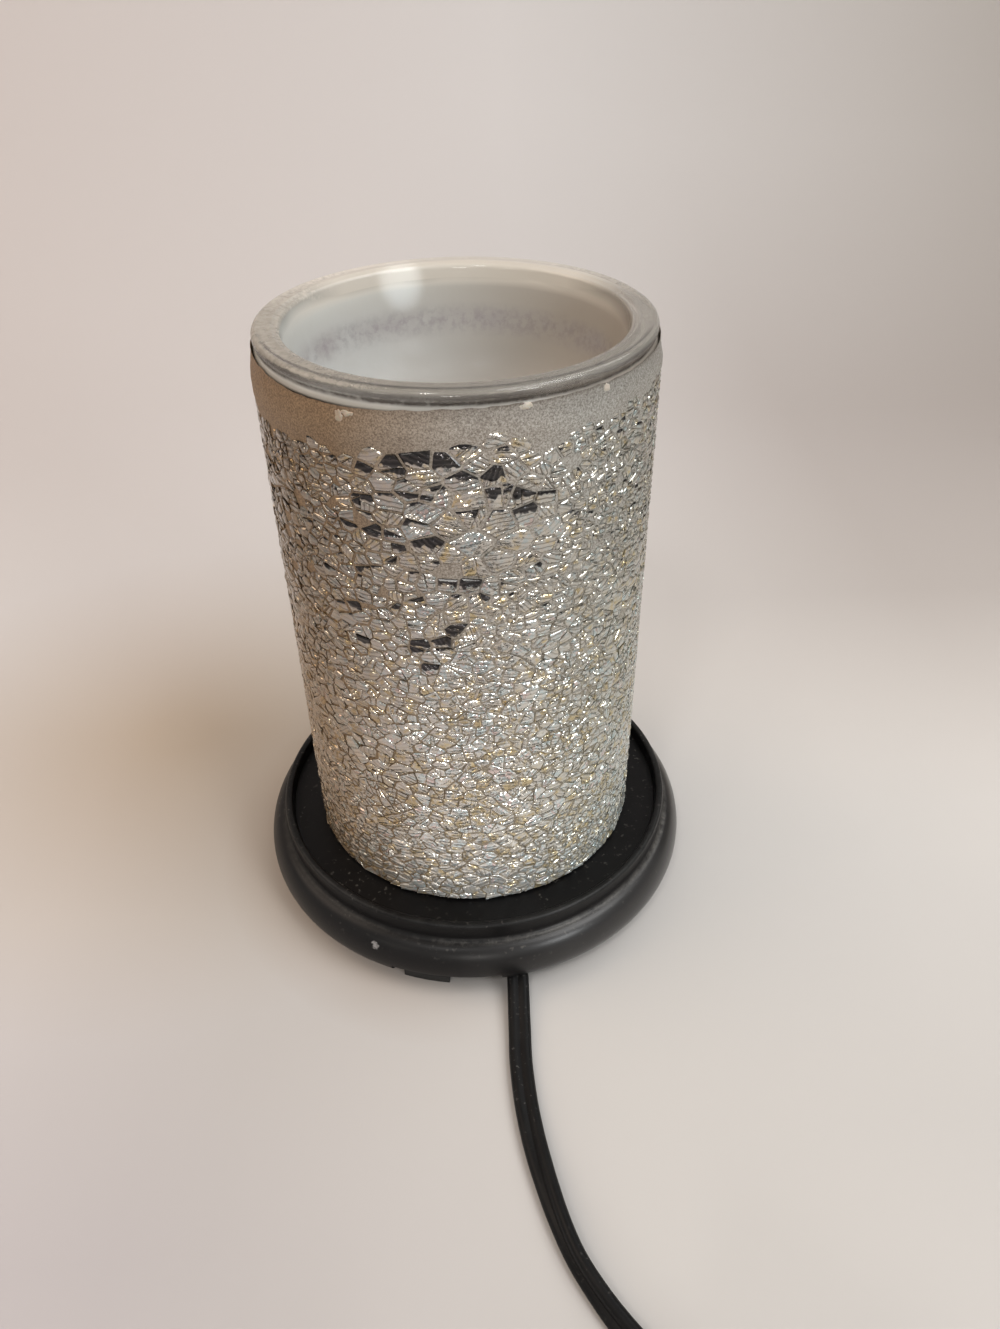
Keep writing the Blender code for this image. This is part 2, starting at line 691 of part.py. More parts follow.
def add_housing_ribs(housing):
    inner = DECK_HOLE_RADIUS + RIB_START
    outer = LIP_RADIUS - BASE_WALL
    outline = rectangle(outer - inner, RIB_THICKNESS)
    mesh = prism_mesh("deck_rib", outline, DECK_BOTTOM - RIB_DEPTH, DECK_BOTTOM + DECK_THICKNESS / 2)
    for index, angle in enumerate(RIB_ANGLES):
        place = polar((inner + outer) / 2, angle)
        fuse(housing, tool(f"deck_rib_{index}", mesh.copy(), place, angle))


def add_housing_posts(housing):
    inside = DECK_BOTTOM + DECK_THICKNESS / 2
    screw_end = COVER_BOTTOM + COVER_SCREW_LENGTH + COVER_SCREW_HEAD
    for index, angle in enumerate(COVER_SCREW_ANGLES):
        place = polar(COVER_SCREW_PLACE, angle)
        fuse(housing, rod_tool(f"cover_post_{index}", COVER_POST_RADIUS, COVER_POST_BOTTOM, inside, place))
        hole = rod_tool(
            f"cover_post_hole_{index}", COVER_SCREW_RADIUS + GAP, 0.0, screw_end + GAP, place
        )
        cut(housing, hole)
    bracket_screw_end = BRACKET_FOOT_TOP + GAP - BRACKET_SCREW_LENGTH
    for index, side in enumerate((-1, 1)):
        place = (side * BRACKET_SCREW_PLACE, 0.0)
        low = bracket_screw_end - GAP - BASE_WALL
        fuse(housing, rod_tool(f"bracket_post_{index}", BRACKET_POST_RADIUS, low, inside, place))
        hole = rod_tool(
            f"bracket_post_hole_{index}", BRACKET_SCREW_RADIUS + GAP, bracket_screw_end - GAP,
            DECK_TOP + GAP, place,
        )
        cut(housing, hole)
        place = (CORD_EXIT_X + side * CLAMP_SCREW_SPACING / 2, CLAMP_Y)
        fuse(housing, rod_tool(f"clamp_post_{index}", CLAMP_POST_RADIUS, CLAMP_BAR_TOP + GAP, inside, place))
        hole = rod_tool(
            f"clamp_post_hole_{index}", CLAMP_SCREW_RADIUS + GAP, 0.0,
            CLAMP_BAR_TOP - CLAMP_BAR + CLAMP_SCREW_LENGTH, place,
        )
        cut(housing, hole)
    outline = rectangle(CORD_WIDTH + 2 * CLAMP_SEAT_EDGE, CLAMP_BAR_DEPTH - 2 * CLAMP_SEAT_EDGE)
    seat = prism_mesh("clamp_seat", outline, CLAMP_SEAT, inside)
    fuse(housing, tool("clamp_seat", seat, (CORD_EXIT_X, CLAMP_Y, 0)))


def make_heat_shield():
    inner = DECK_HOLE_RADIUS + SHIELD_HOLE_EDGE
    outer = SPIGOT_INNER - GAP
    low = DECK_TOP + GAP
    outline = [
        (inner, low),
        (outer, low),
        (outer, low + SHIELD_RIM),
        (outer - SHIELD_THICKNESS, low + SHIELD_RIM),
        (outer - SHIELD_THICKNESS, SHIELD_TOP),
        (inner, SHIELD_TOP),
    ]
    shield = turned("heat_shield", outline, ALUMINIUM, ROUND_SHIELD)
    for index, side in enumerate((-1, 1)):
        place = (side * BRACKET_SCREW_PLACE, 0.0)
        hole = BRACKET_SCREW_RADIUS + GAP
        cut(shield, rod_tool(f"shield_hole_{index}", hole, DECK_TOP, BRACKET_BOTTOM, place))
    for index, angle in enumerate(DECK_VENT_ANGLES):
        place = polar(DECK_VENT_PLACE, angle)
        cut(shield, rod_tool(f"shield_vent_{index}", DECK_VENT_RADIUS, DECK_TOP, BRACKET_BOTTOM, place))


def make_shade():
    outline = [
        (GLASS_INNER, GLASS_BOTTOM),
        (GLASS_RADIUS, GLASS_BOTTOM),
        (GLASS_RADIUS, GLASS_TOP - GLASS_ROUND),
        (GLASS_RADIUS - GLASS_ROUND, GLASS_TOP),
        (GLASS_INNER + GLASS_ROUND, GLASS_TOP),
        (GLASS_INNER, GLASS_TOP - GLASS_ROUND),
    ]
    turned("shade_glass", outline, CLEAR_GLASS)


def make_mosaic_coat():
    """Rows of glass chips, each a low point between sunken joints, under a smooth collar of grout."""
    draw = random.Random(CHIP_SEED)
    shape = bmesh.new()
    rings = [chip_corners(shape, draw, row) for row in range(CHIP_ROWS + 1)]
    for low, high in zip(rings, rings[1:]):
        for column in range(CHIP_COLUMNS):
            after = (column + 1) % CHIP_COLUMNS
            add_chip(shape, draw, (low[column], low[after], high[after], high[column]))
    collar = COAT_RADIUS - COLLAR_INSET
    upper = [
        rings[-1],
        ring_of_points(shape, CHIP_COLUMNS, collar, COAT_TOP - COLLAR_HEIGHT),
        ring_of_points(shape, CHIP_COLUMNS, collar, COAT_TOP - COLLAR_CHAMFER),
        ring_of_points(shape, CHIP_COLUMNS, collar - COLLAR_CHAMFER, COAT_TOP),
    ]
    for low, high in zip(upper, upper[1:]):
        join_rings(shape, low, high)
    inner_low = ring_of_points(shape, ROUND_LARGE, COAT_INNER, GLASS_BOTTOM)
    inner_high = ring_of_points(shape, ROUND_LARGE, COAT_INNER, COAT_TOP)
    join_rings(shape, inner_high, inner_low)
    join_rims(shape, rings[0], inner_low)
    join_rims(shape, upper[-1], inner_high)
    bmesh.ops.recalc_face_normals(shape, faces=shape.faces)
    stand("mosaic_coat", mesh_from(shape, "mosaic_coat"), GROUT)


def chip_corners(shape, draw, row):
    """The corners between two rows of chips, which stray from an even pattern but for the end rows."""
    chips_height = COAT_TOP - COLLAR_HEIGHT - COLLAR_STEP - GLASS_BOTTOM
    at_end = row in (0, CHIP_ROWS)
    corners = []
    for column in range(CHIP_COLUMNS):
        aside = 0.0 if at_end else draw.uniform(-CHIP_STRAY, CHIP_STRAY) + 0.5 * (row % 2)
        rise = 0.0 if at_end else draw.uniform(-CHIP_STRAY, CHIP_STRAY)
        height = GLASS_BOTTOM + chips_height * (row + rise) / CHIP_ROWS
        place = polar(COAT_RADIUS - CHIP_RELIEF, 360.0 * (column + aside) / CHIP_COLUMNS, height)
        corners.append(shape.verts.new(place))
    return corners


def add_chip(shape, draw, corners):
    middle = sum((corner.co for corner in corners), Vector()) / len(corners)
    radius = COAT_RADIUS - draw.uniform(0.0, CHIP_UNEVEN)
    middle.xy = middle.xy.normalized() * radius
    point = shape.verts.new(middle)
    for first, second in zip(corners, corners[1:] + corners[:1]):
        shape.faces.new((first, second, point))


def ring_of_points(shape, count, radius, height):
    return [shape.verts.new(polar(radius, 360.0 * index / count, height)) for index in range(count)]


def join_rings(shape, low, high):
    """A band of faces between two rings of as many points."""
    for index in range(len(low)):
        after = (index + 1) % len(low)
        shape.faces.new((low[index], low[after], high[after], high[index]))


def join_rims(shape, outer, inner):
    """A flat rim between two rings whose numbers of points have a common divisor."""
    parts = math.gcd(len(outer), len(inner))
    outer_steps = len(outer) // parts
    inner_steps = len(inner) // parts
    for part in range(parts):
        near = [outer[(part * outer_steps + step) % len(outer)] for step in range(outer_steps + 1)]
        far = [inner[(part * inner_steps + step) % len(inner)] for step in range(inner_steps + 1)]
        shape.faces.new(near + far[::-1])


def make_dish():
    """The flange rests on the glass rim; the bowl hangs inside the shade."""
    floor_top = DISH_TOP - DISH_DEPTH
    floor_bottom = floor_top - DISH_FLOOR
    lower = DISH_RADIUS - DISH_LOWER_INSET
    bead_centre = (DISH_RADIUS - DISH_BEAD, DISH_TOP - DISH_BEAD)
    outline = [(0.0, floor_bottom), (DISH_FLOOR_RADIUS, floor_bottom)]
    bowl_height = DISH_SEAT - floor_bottom
    bowl_centre = (DISH_FLOOR_RADIUS, DISH_SEAT)
    outline += arc(bowl_centre, (DISH_CURVE, bowl_height), -65, 0, 3)
    outline += [
        (lower - DISH_BEAD / 2, DISH_SEAT),
        (lower, DISH_SEAT + DISH_BEAD / 2),
        (lower, DISH_SEAT + DISH_BEAD),
        (DISH_RADIUS - DISH_GROOVE, DISH_TOP - 2 * DISH_BEAD),
    ]
    outline += arc(bead_centre, (DISH_BEAD, DISH_BEAD), -45, 90, 3)
    outline += [
        (DISH_INNER + DISH_MOUTH_FLARE + DISH_BEAD, DISH_TOP - DISH_BEAD / 3),
        (DISH_INNER + DISH_MOUTH_FLARE, DISH_TOP - DISH_BEAD),
    ]
    inner_centre = (DISH_FLOOR_RADIUS, DISH_SEAT)
    inner = (DISH_INNER - DISH_FLOOR_RADIUS, DISH_SEAT - floor_top)
    outline += arc(inner_centre, inner, 0, -90, 4)
    outline += [(0.0, floor_top)]
    return turned("wax_dish", outline, CLEAR_GLASS)


def bent_strip(name, corners, thickness, width, bend, look, middle=0.0, parent=None):
    """Sheet metal folded along a line of (x, z) corners, as wide as width along Y."""
    path = [Vector(corners[0])]
    for before, corner, after in zip(corners, corners[1:], corners[2:]):
        corner = Vector(corner)
        into = (Vector(before) - corner).normalized()
        out = (Vector(after) - corner).normalized()
        path.append(corner + into * bend)
        path.append(corner + (into + out) * bend * 0.29)
        path.append(corner + out * bend)
    path.append(Vector(corners[-1]))
    left = []
    right = []
    for index, point in enumerate(path):
        ahead = path[min(index + 1, len(path) - 1)] - path[max(index - 1, 0)]
        side = Vector((-ahead.y, ahead.x)).normalized() * thickness / 2
        left.append(point + side)
        right.append(point - side)
    shape = bmesh.new()
    ring = [shape.verts.new((p.x, middle - width / 2, p.y)) for p in left + right[::-1]]
    face = shape.faces.new(ring)
    moved = bmesh.ops.extrude_face_region(shape, geom=[face])
    far = [part for part in moved["geom"] if isinstance(part, bmesh.types.BMVert)]
    bmesh.ops.translate(shape, verts=far, vec=(0, width, 0))
    return stand(name, mesh_from(shape, name), look, parent)


def make_lamp_bracket():
    half = BRACKET_SPAN / 2
    low = BRACKET_BOTTOM + BRACKET_THICKNESS / 2
    high = BRACKET_TOP - BRACKET_THICKNESS / 2
    corners = [
        (-half - BRACKET_FOOT, low),
        (-half, low),
        (-half, high),
        (half, high),
        (half, low),
        (half + BRACKET_FOOT, low),
    ]
    bracket = bent_strip(
        "lamp_bracket", corners, BRACKET_THICKNESS, BRACKET_WIDTH, BRACKET_BEND, STEEL
    )
    above = BRACKET_TOP + GAP
    below = BRACKET_BOTTOM - GAP
    cut(bracket, rod_tool("bracket_wire_hole", BRACKET_WIRE_HOLE, below, above, segments=16))
    for index, side in enumerate((-1, 1)):
        place = (side * BRACKET_SCREW_PLACE, 0.0)
        hole = BRACKET_SCREW_RADIUS + GAP
        cut(bracket, rod_tool(f"bracket_foot_hole_{index}", hole, below, BRACKET_FOOT_TOP + GAP, place))
        head = BRACKET_FOOT_TOP + GAP
        screw(
            f"bracket_screw_{index + 1}", place, BRACKET_SCREW_RADIUS, head - BRACKET_SCREW_LENGTH, head,
            BRACKET_SCREW_HEAD_RADIUS, BRACKET_SCREW_HEAD,
        )
        place = (side * HOLDER_SCREW_PLACE, 0.0)
        low = BRACKET_TOP - BRACKET_THICKNESS - GAP
        cut(bracket, rod_tool(f"bracket_top_hole_{index}", HOLDER_SCREW_RADIUS + GAP, low, above, place))


def kidney(radius, half_width, start, end):
    """The outline of a curved slot with round ends, seen from above."""
    points = arc((0, 0), (radius + half_width,) * 2, start, end, 3)
    tip = polar(radius, end)
    points += arc((tip.x, tip.y), (half_width,) * 2, end, end + 180, 5)[1:-1]
    points += arc((0, 0), (radius - half_width,) * 2, end, start, 3)
    root = polar(radius, start)
    points += arc((root.x, root.y), (half_width,) * 2, start + 180, start + 360, 5)[1:-1]
    return points


def make_lampholder():
    """The lamp's pins drop through the plate's round holes and hook under it when they turn."""
    rim = HOLDER_RADIUS - HOLDER_CHAMFER
    body_outline = [
        (0.0, HOLDER_BOTTOM),
        (rim, HOLDER_BOTTOM),
        (HOLDER_RADIUS, HOLDER_BOTTOM + HOLDER_CHAMFER),
        (HOLDER_RADIUS, HOLDER_BODY_TOP),
        (0.0, HOLDER_BODY_TOP),
    ]
    plate_outline = [
        (0.0, HOLDER_PLATE_BOTTOM),
        (HOLDER_RADIUS, HOLDER_PLATE_BOTTOM),
        (HOLDER_RADIUS, HOLDER_TOP - HOLDER_CHAMFER),
        (rim, HOLDER_TOP),
        (0.0, HOLDER_TOP),
    ]
    body = turned("lampholder", body_outline, CERAMIC, ROUND_MIDDLE)
    plate = turned("lampholder_plate", plate_outline, CERAMIC, ROUND_MIDDLE)
    below = HOLDER_BOTTOM - GAP
    above = HOLDER_TOP + GAP
    for index, locked in enumerate((90.0, 270.0)):
        open_at = locked + LAMP_TWIST
        outline = kidney(PIN_PLACE, CHANNEL_HALF_WIDTH, locked, open_at)
        cut(body, tool(f"pin_channel_{index}", prism_mesh("channel", outline, CHANNEL_BOTTOM, above)))
        outline = kidney(PIN_PLACE, SLOT_HALF_WIDTH, locked, open_at)
        cut(plate, tool(f"pin_slot_{index}", prism_mesh("slot", outline, HOLDER_BODY_TOP, above)))
        entry = rod_tool(
            f"pin_entry_{index}", CHANNEL_HALF_WIDTH, HOLDER_BODY_TOP, above, polar(PIN_PLACE, open_at)
        )
        cut(plate, entry)
        wire_hole = rod_tool(
            f"holder_wire_hole_{index}", WIRE_RADIUS + GAP, below, CHANNEL_BOTTOM + GAP,
            polar(WIRE_HOLE_PLACE, locked),
        )
        cut(body, wire_hole)
        make_contact(index, locked)
    add_holder_screws(body, plate)


def add_holder_screws(body, plate):
    below = HOLDER_BOTTOM - GAP
    above = HOLDER_TOP + GAP
    head_low = HOLDER_TOP - HOLDER_SCREW_SINK - HOLDER_SCREW_HEAD
    nut_top = BRACKET_TOP - BRACKET_THICKNESS - GAP
    for index, side in enumerate((-1, 1)):
        place = (side * HOLDER_SCREW_PLACE, 0.0)
        hole = HOLDER_SCREW_RADIUS + GAP
        cut(body, rod_tool(f"holder_bore_{index}", hole, below, above, place))
        cut(plate, rod_tool(f"plate_bore_{index}", hole, below, above, place))
        recess = HOLDER_SCREW_HEAD_RADIUS + GAP
        cut(plate, rod_tool(f"plate_recess_{index}", recess, head_low - GAP, above, place))
        tail = nut_top - HOLDER_NUT - HOLDER_SCREW_TAIL
        screw(
            f"holder_screw_{index + 1}", place, HOLDER_SCREW_RADIUS, tail, head_low,
            HOLDER_SCREW_HEAD_RADIUS, HOLDER_SCREW_HEAD,
        )
        nut = [
            (HOLDER_SCREW_RADIUS + GAP, nut_top - HOLDER_NUT),
            (HOLDER_NUT_RADIUS, nut_top - HOLDER_NUT),
            (HOLDER_NUT_RADIUS, nut_top),
            (HOLDER_SCREW_RADIUS + GAP, nut_top),
        ]
        made = turned(f"holder_nut_{index + 1}", nut, STEEL, 6)
        made.location = (*place, 0)


def make_contact(index, locked):
    """A brass leaf folded back over itself under the pin's head."""
    low = CHANNEL_BOTTOM + GAP + CONTACT_THICKNESS / 2
    high = PIN_HEAD_BOTTOM - GAP - CONTACT_THICKNESS / 2
    corners = [
        (-CONTACT_TAIL, low),
        (CONTACT_HEEL, low),
        (CONTACT_HEEL - CONTACT_BEND, high - CONTACT_FALL),
        (-CONTACT_TIP, high),
    ]
    leaf = bent_strip(
        f"holder_contact_{index + 1}", corners, CONTACT_THICKNESS, CONTACT_WIDTH, CONTACT_BEND, BRASS
    )
    leaf.location = polar(PIN_PLACE, locked)
    leaf.rotation_euler.z = math.radians(locked - 90.0)


def make_lamp():
    """A reflector lamp whose two headed pins turn in the holder."""
    base_top = LAMP_BOTTOM + LAMP_BASE_HEIGHT
    rim_low = LAMP_TOP - LAMP_RIM
    outline = [
        (0.0, LAMP_BOTTOM),
        (LAMP_BASE_RADIUS - LAMP_BASE_CHAMFER, LAMP_BOTTOM),
        (LAMP_BASE_RADIUS, LAMP_BOTTOM + LAMP_BASE_CHAMFER),
    ]
    for across, up in LAMP_FLARE:
        radius = LAMP_BASE_RADIUS + (LAMP_RADIUS - LAMP_BASE_RADIUS) * across
        outline.append((radius, base_top + (rim_low - base_top) * up))
    ledge = LAMP_RADIUS - 2 * LAMP_WALL
    ledge_top = LAMP_TOP - LENS_THICKNESS - 2 * GAP
    floor = LAMP_BOTTOM + LAMP_FLOOR
    floor_radius = CAPSULE_RADIUS + 2 * GAP
    outline += [
        (LAMP_RADIUS, LAMP_TOP),
        (LAMP_RADIUS - LAMP_WALL, LAMP_TOP),
        (LAMP_RADIUS - LAMP_WALL, ledge_top),
        (ledge, ledge_top),
    ]
    for across, up in LAMP_INNER_FLARE:
        radius = floor_radius + (ledge - floor_radius) * across
        outline.append((radius, floor + (ledge_top - floor) * up))
    outline += [(floor_radius, floor), (0.0, floor)]
    reflector = turned("lamp_reflector", outline, ALUMINIUM, ROUND_MIDDLE)
    root_top = LAMP_BOTTOM + PIN_ROOT
    for index, angle in enumerate((90.0, 270.0)):
        place = polar(PIN_PLACE, angle)
        socket = rod_tool(
            f"pin_socket_{index}", PIN_RADIUS + GAP, LAMP_BOTTOM - GAP, root_top + GAP, place
        )
        cut(reflector, socket)
        pin = [
            (0.0, PIN_HEAD_BOTTOM),
            (PIN_HEAD_RADIUS - PIN_CHAMFER, PIN_HEAD_BOTTOM),
            (PIN_HEAD_RADIUS, PIN_HEAD_BOTTOM + PIN_CHAMFER),
            (PIN_HEAD_RADIUS, PIN_HEAD_TOP),
            (PIN_RADIUS, PIN_HEAD_TOP),
            (PIN_RADIUS, root_top),
            (0.0, root_top),
        ]
        made = turned(f"lamp_pin_{index + 1}", pin, BRASS, ROUND_SMALL)
        made.location = place
    lens_radius = LAMP_RADIUS - LAMP_WALL - GAP
    lens_low = ledge_top + GAP
    lens = [
        (0.0, lens_low),
        (lens_radius, lens_low),
        (lens_radius, lens_low + LENS_THICKNESS - LENS_EDGE),
        (lens_radius - 2 * LENS_EDGE, lens_low + LENS_THICKNESS),
        (0.0, lens_low + LENS_THICKNESS),
    ]
    turned("lamp_lens", lens, CLEAR_GLASS, ROUND_MIDDLE)
    low = floor + GAP
    top = low + CAPSULE_LENGTH
    capsule = [(0.0, low), (CAPSULE_RADIUS - CAPSULE_NECK, low), (CAPSULE_RADIUS, low + CAPSULE_PRESS)]
    capsule += arc((0, top - CAPSULE_RADIUS), (CAPSULE_RADIUS, CAPSULE_RADIUS), 0, 90, 3)
    turned("lamp_capsule", capsule, CLEAR_GLASS, ROUND_SMALL)


def make_wires():
    """Two wires run from the holder down through the deck to the joints with the cord's cores."""
    side = WIRE_RADIUS + 0.2 * MM
    end = CHANNEL_BOTTOM
    wire("live_wire", [
        (0, WIRE_HOLE_PLACE, end),
        (0, WIRE_HOLE_PLACE, HOLDER_BOTTOM + 2 * MM),
        (0, WIRE_HOLE_PLACE, BRACKET_TOP - 3 * MM),
        (1 * MM, 3 * MM, DECK_TOP + 9 * MM),
        (3 * MM, 1 * MM, DECK_TOP + 2 * MM),
        (5 * MM, -4 * MM, DECK_BOTTOM - 2 * MM),
        (5.5 * MM, -12 * MM, CAP_HEIGHT + 1.5 * MM),
        (8 * MM, -20 * MM, CAP_HEIGHT),
        (12.5 * MM, JOINT_Y + side, CAP_HEIGHT),
        (15.5 * MM, JOINT_Y + side, CAP_HEIGHT),
        (20 * MM, JOINT_Y + side, CAP_HEIGHT),
        (25 * MM, JOINT_Y + side, CAP_HEIGHT),
    ])
    wire("neutral_wire", [
        (0, -WIRE_HOLE_PLACE, end),
        (0, -WIRE_HOLE_PLACE, HOLDER_BOTTOM + 2 * MM),
        (0, -WIRE_HOLE_PLACE, BRACKET_TOP - 3 * MM),
        (-1 * MM, -3.5 * MM, DECK_TOP + 9 * MM),
        (-2 * MM, -4 * MM, DECK_TOP + 1 * MM),
        (-1 * MM, -8 * MM, DECK_BOTTOM - 3 * MM),
        (1 * MM, -15 * MM, CAP_HEIGHT + 0.5 * MM),
        (0, -20.5 * MM, CAP_HEIGHT),
        (-3.5 * MM, JOINT_Y + side, CAP_HEIGHT),
        (-7 * MM, JOINT_Y + side, CAP_HEIGHT),
        (-11 * MM, JOINT_Y + side, CAP_HEIGHT),
        (-16 * MM, JOINT_Y + side, CAP_HEIGHT),
    ])
    split = CLAMP_Y + 5.0 * MM
    core = CORD_THICKNESS / 2
    wire("cord_core_1", [
        (CORD_EXIT_X + core, split, CLAMP_HEIGHT),
        (CORD_EXIT_X + core, split + 4 * MM, CLAMP_HEIGHT),
        (11.0 * MM, -27.8 * MM, CAP_HEIGHT + 0.2 * MM),
        (13.0 * MM, JOINT_Y - side - 0.2 * MM, CAP_HEIGHT),
        (15.5 * MM, JOINT_Y - side, CAP_HEIGHT),
        (20 * MM, JOINT_Y - side, CAP_HEIGHT),
        (25 * MM, JOINT_Y - side, CAP_HEIGHT),
    ], CORD_PLASTIC)
    wire("cord_core_2", [
        (CORD_EXIT_X - core, split, CLAMP_HEIGHT),
        (CORD_EXIT_X - core, split + 3 * MM, CLAMP_HEIGHT),
        (4.5 * MM, -27.5 * MM, CAP_HEIGHT),
        (-2 * MM, JOINT_Y - side, CAP_HEIGHT),
        (-8 * MM, JOINT_Y - side, CAP_HEIGHT),
        (-16 * MM, JOINT_Y - side, CAP_HEIGHT),
    ], CORD_PLASTIC)
    make_wire_cap("wire_cap_1", (14 * MM, JOINT_Y), 0.0)
    make_wire_cap("wire_cap_2", (-5 * MM, JOINT_Y), 180.0)


def make_wire_cap(name, mouth, degrees):
    """A crimp cap that lies on its side, open at the mouth."""
    outline = [
        (0.0, CAP_DEPTH),
        (CAP_BORE, CAP_DEPTH),
        (CAP_BORE, 0.0),
        (CAP_RADIUS, 0.0),
        (CAP_RADIUS, CAP_SKIRT),
        (CAP_RADIUS - CAP_TAPER, CAP_LENGTH - CAP_ROUND),
        (CAP_RADIUS - CAP_TAPER - CAP_ROUND, CAP_LENGTH),
        (0.0, CAP_LENGTH),
    ]
    cap = turned(name, outline, WHITE_SLEEVE, ROUND_SMALL)
    cap.location = (mouth[0], mouth[1], CAP_HEIGHT)
    cap.rotation_euler = (0.0, math.radians(90.0), math.radians(degrees))


def make_cord_clamp():
    length = CLAMP_SCREW_SPACING + 2 * CLAMP_POST_RADIUS
    low = CLAMP_BAR_TOP - CLAMP_BAR
    bar = prism("cord_clamp", rectangle(length, CLAMP_BAR_DEPTH), low, CLAMP_BAR_TOP, STEEL)
    bar.location = (CORD_EXIT_X, CLAMP_Y, 0)
    for index, side in enumerate((-1, 1)):
        place = (CORD_EXIT_X + side * CLAMP_SCREW_SPACING / 2, CLAMP_Y)
        cut(bar, rod_tool(f"clamp_hole_{index}", CLAMP_SCREW_RADIUS + GAP, 0.0, CLAMP_BAR_TOP + GAP, place))
        head = low - GAP
        screw(
            f"clamp_screw_{index + 1}", place, CLAMP_SCREW_RADIUS, head + CLAMP_SCREW_LENGTH, head,
            CLAMP_SCREW_HEAD_RADIUS, CLAMP_SCREW_HEAD,
        )


def switch_end(side, beyond):
    """A cord point level with the middle of the switch, beyond its end face."""
    ahead = polar((SWITCH_LENGTH / 2 + beyond) * side, SWITCH_DEGREES)
    return (SWITCH_PLACE[0] + ahead.x, SWITCH_PLACE[1] + ahead.y, SWITCH_HEIGHT / 2, FLAT_TILT)


def plug_end(beyond, roll):
    """A cord point behind the plug's relief."""
    behind = polar(PLUG_RELIEF + beyond, PLUG_DEGREES)
    return (PLUG_PLACE[0] - behind.x, PLUG_PLACE[1] - behind.y, PLUG_HEIGHT / 2, FLAT_TILT + roll)


def carried_on(route, distance):
    """A point beyond the end of a route, straight on."""
    last = Vector(route[-1][:3])
    ahead = (last - Vector(route[-2][:3])).normalized() * distance
    return (*(last + ahead), route[-1][3])


def coil_point(angle, radius, height):
    place = polar(radius, angle)
    return (COIL_CENTRE[0] + place.x, COIL_CENTRE[1] + place.y, height, FLAT_TILT + 90.0)


def eased(share):
    share = min(max(share, 0.0), 1.0)
    return share * share * (3.0 - 2.0 * share)


def coil_route():
    """One cord on edge, wound inwards on the table and back outwards on top of itself."""
    inner = COIL_MID_RADIUS - COIL_PITCH * COIL_TURNS / 4
    low = CORD_REST + CORD_WIDTH / 2
    layer = CORD_WIDTH + COIL_LAYER_GAP
    count = round(COIL_TURNS * COIL_POINTS_A_TURN)
    route = []
    for step in range(count + 1):
        turn = COIL_TURNS * step / count
        from_middle = turn - COIL_TURNS / 2
        dip = COIL_CLIMB_DIP * eased(2.0 - 2.0 * abs(from_middle) / COIL_CLIMB_TURNS)
        radius = inner + COIL_PITCH * abs(from_middle) - dip
        height = low + layer * eased(0.5 + from_middle / COIL_CLIMB_TURNS)
        route.append(coil_point(COIL_START_ANGLE - 360.0 * turn, radius, height))
    return [carried_on(route[::-1], CORD_WIDTH)] + route + [carried_on(route, CORD_WIDTH)]


def coil_gap(route):
    """The least space between turns, from points at least half a turn apart."""
    apart = COIL_POINTS_A_TURN // 2
    least = 1.0
    for index, first in enumerate(route):
        for second in route[index + apart:]:
            across = math.dist(first[:2], second[:2]) - CORD_THICKNESS
            up = abs(first[2] - second[2]) - CORD_WIDTH
            least = min(least, max(across, up))
    return least


def make_cords():
    lead = [
        (CORD_EXIT_X, CLAMP_Y + 4.7 * MM, CLAMP_HEIGHT, FLAT_TILT),
        (CORD_EXIT_X, CLAMP_Y, CLAMP_HEIGHT, FLAT_TILT),
        (CORD_EXIT_X, CLAMP_Y - 4.5 * MM, CLAMP_HEIGHT - 0.6 * MM, FLAT_TILT),
        lying(9.1, -50.0, 0, 5.5),
        lying(9.1, -55.0, 0, 3.4),
        lying(9.1, -60.0, 0, 2.0),
        lying(8.9, -66.0, 0, 0.9),
        lying(8.7, -73.0, 0, 0.2),
        lying(8.5, -80.6, 2),
        lying(9.0, -90.8, 8),
        lying(10.2, -100.3, 20),
        lying(12.0, -109.3, 38),
        lying(14.2, -117.8, 54),
        lying(17.1, -125.8, 62),
        lying(21.4, -133.5, 60),
        lying(26.0, -140.0, 48),
        lying(32.0, -147.5, 24, 0.8),
        lying(38.5, -154.6, 6, 3.4),
        switch_end(-1, CORD_WIDTH),
        switch_end(-1, GAP),
    ]
    coil = coil_route()
    mid = [
        switch_end(1, GAP),
        switch_end(1, CORD_WIDTH),
        lying(86.0, -213.5, 12, 2.6),
        lying(88.0, -223.0, 40, 0.4),
        lying(83.5, -233.0, 65),
        lying(73.5, -240.0, 82),
        lying(60.0, -243.6, 90),
        lying(46.0, -244.3, 90),
        carried_on(coil[::-1], 3 * CORD_WIDTH),
        carried_on(coil[::-1], CORD_POINT_SPACING),
        carried_on(coil[::-1], GAP),
    ]
    tail = [
        carried_on(coil, GAP),
        carried_on(coil, CORD_WIDTH / 2),
        carried_on(coil, CORD_WIDTH),
        (-26.4 * MM, -219.6 * MM, 7.9 * MM, FLAT_TILT + 72.0),
        plug_end(CORD_WIDTH / 2, 62.0),
        plug_end(GAP, 62.0),
    ]
    lead = smooth_route(lead, CORD_POINT_SPACING)
    mid = smooth_route(mid, CORD_POINT_SPACING)
    tail = smooth_route(tail, CORD_WIDTH / 2)
    flat_cord("cord_lead", lead)
    flat_cord("cord_mid", mid)
    flat_cord("cord_coil", coil)
    flat_cord("cord_tail", tail)
    lengths = [route_length(route) for route in (lead, mid, coil, tail)]
    print("Cord lengths in mm:", [round(length / MM, 1) for length in lengths], round(sum(lengths) / MM, 1))
    print("Least gap between the coil's turns in mm:", round(coil_gap(coil) / MM, 2))


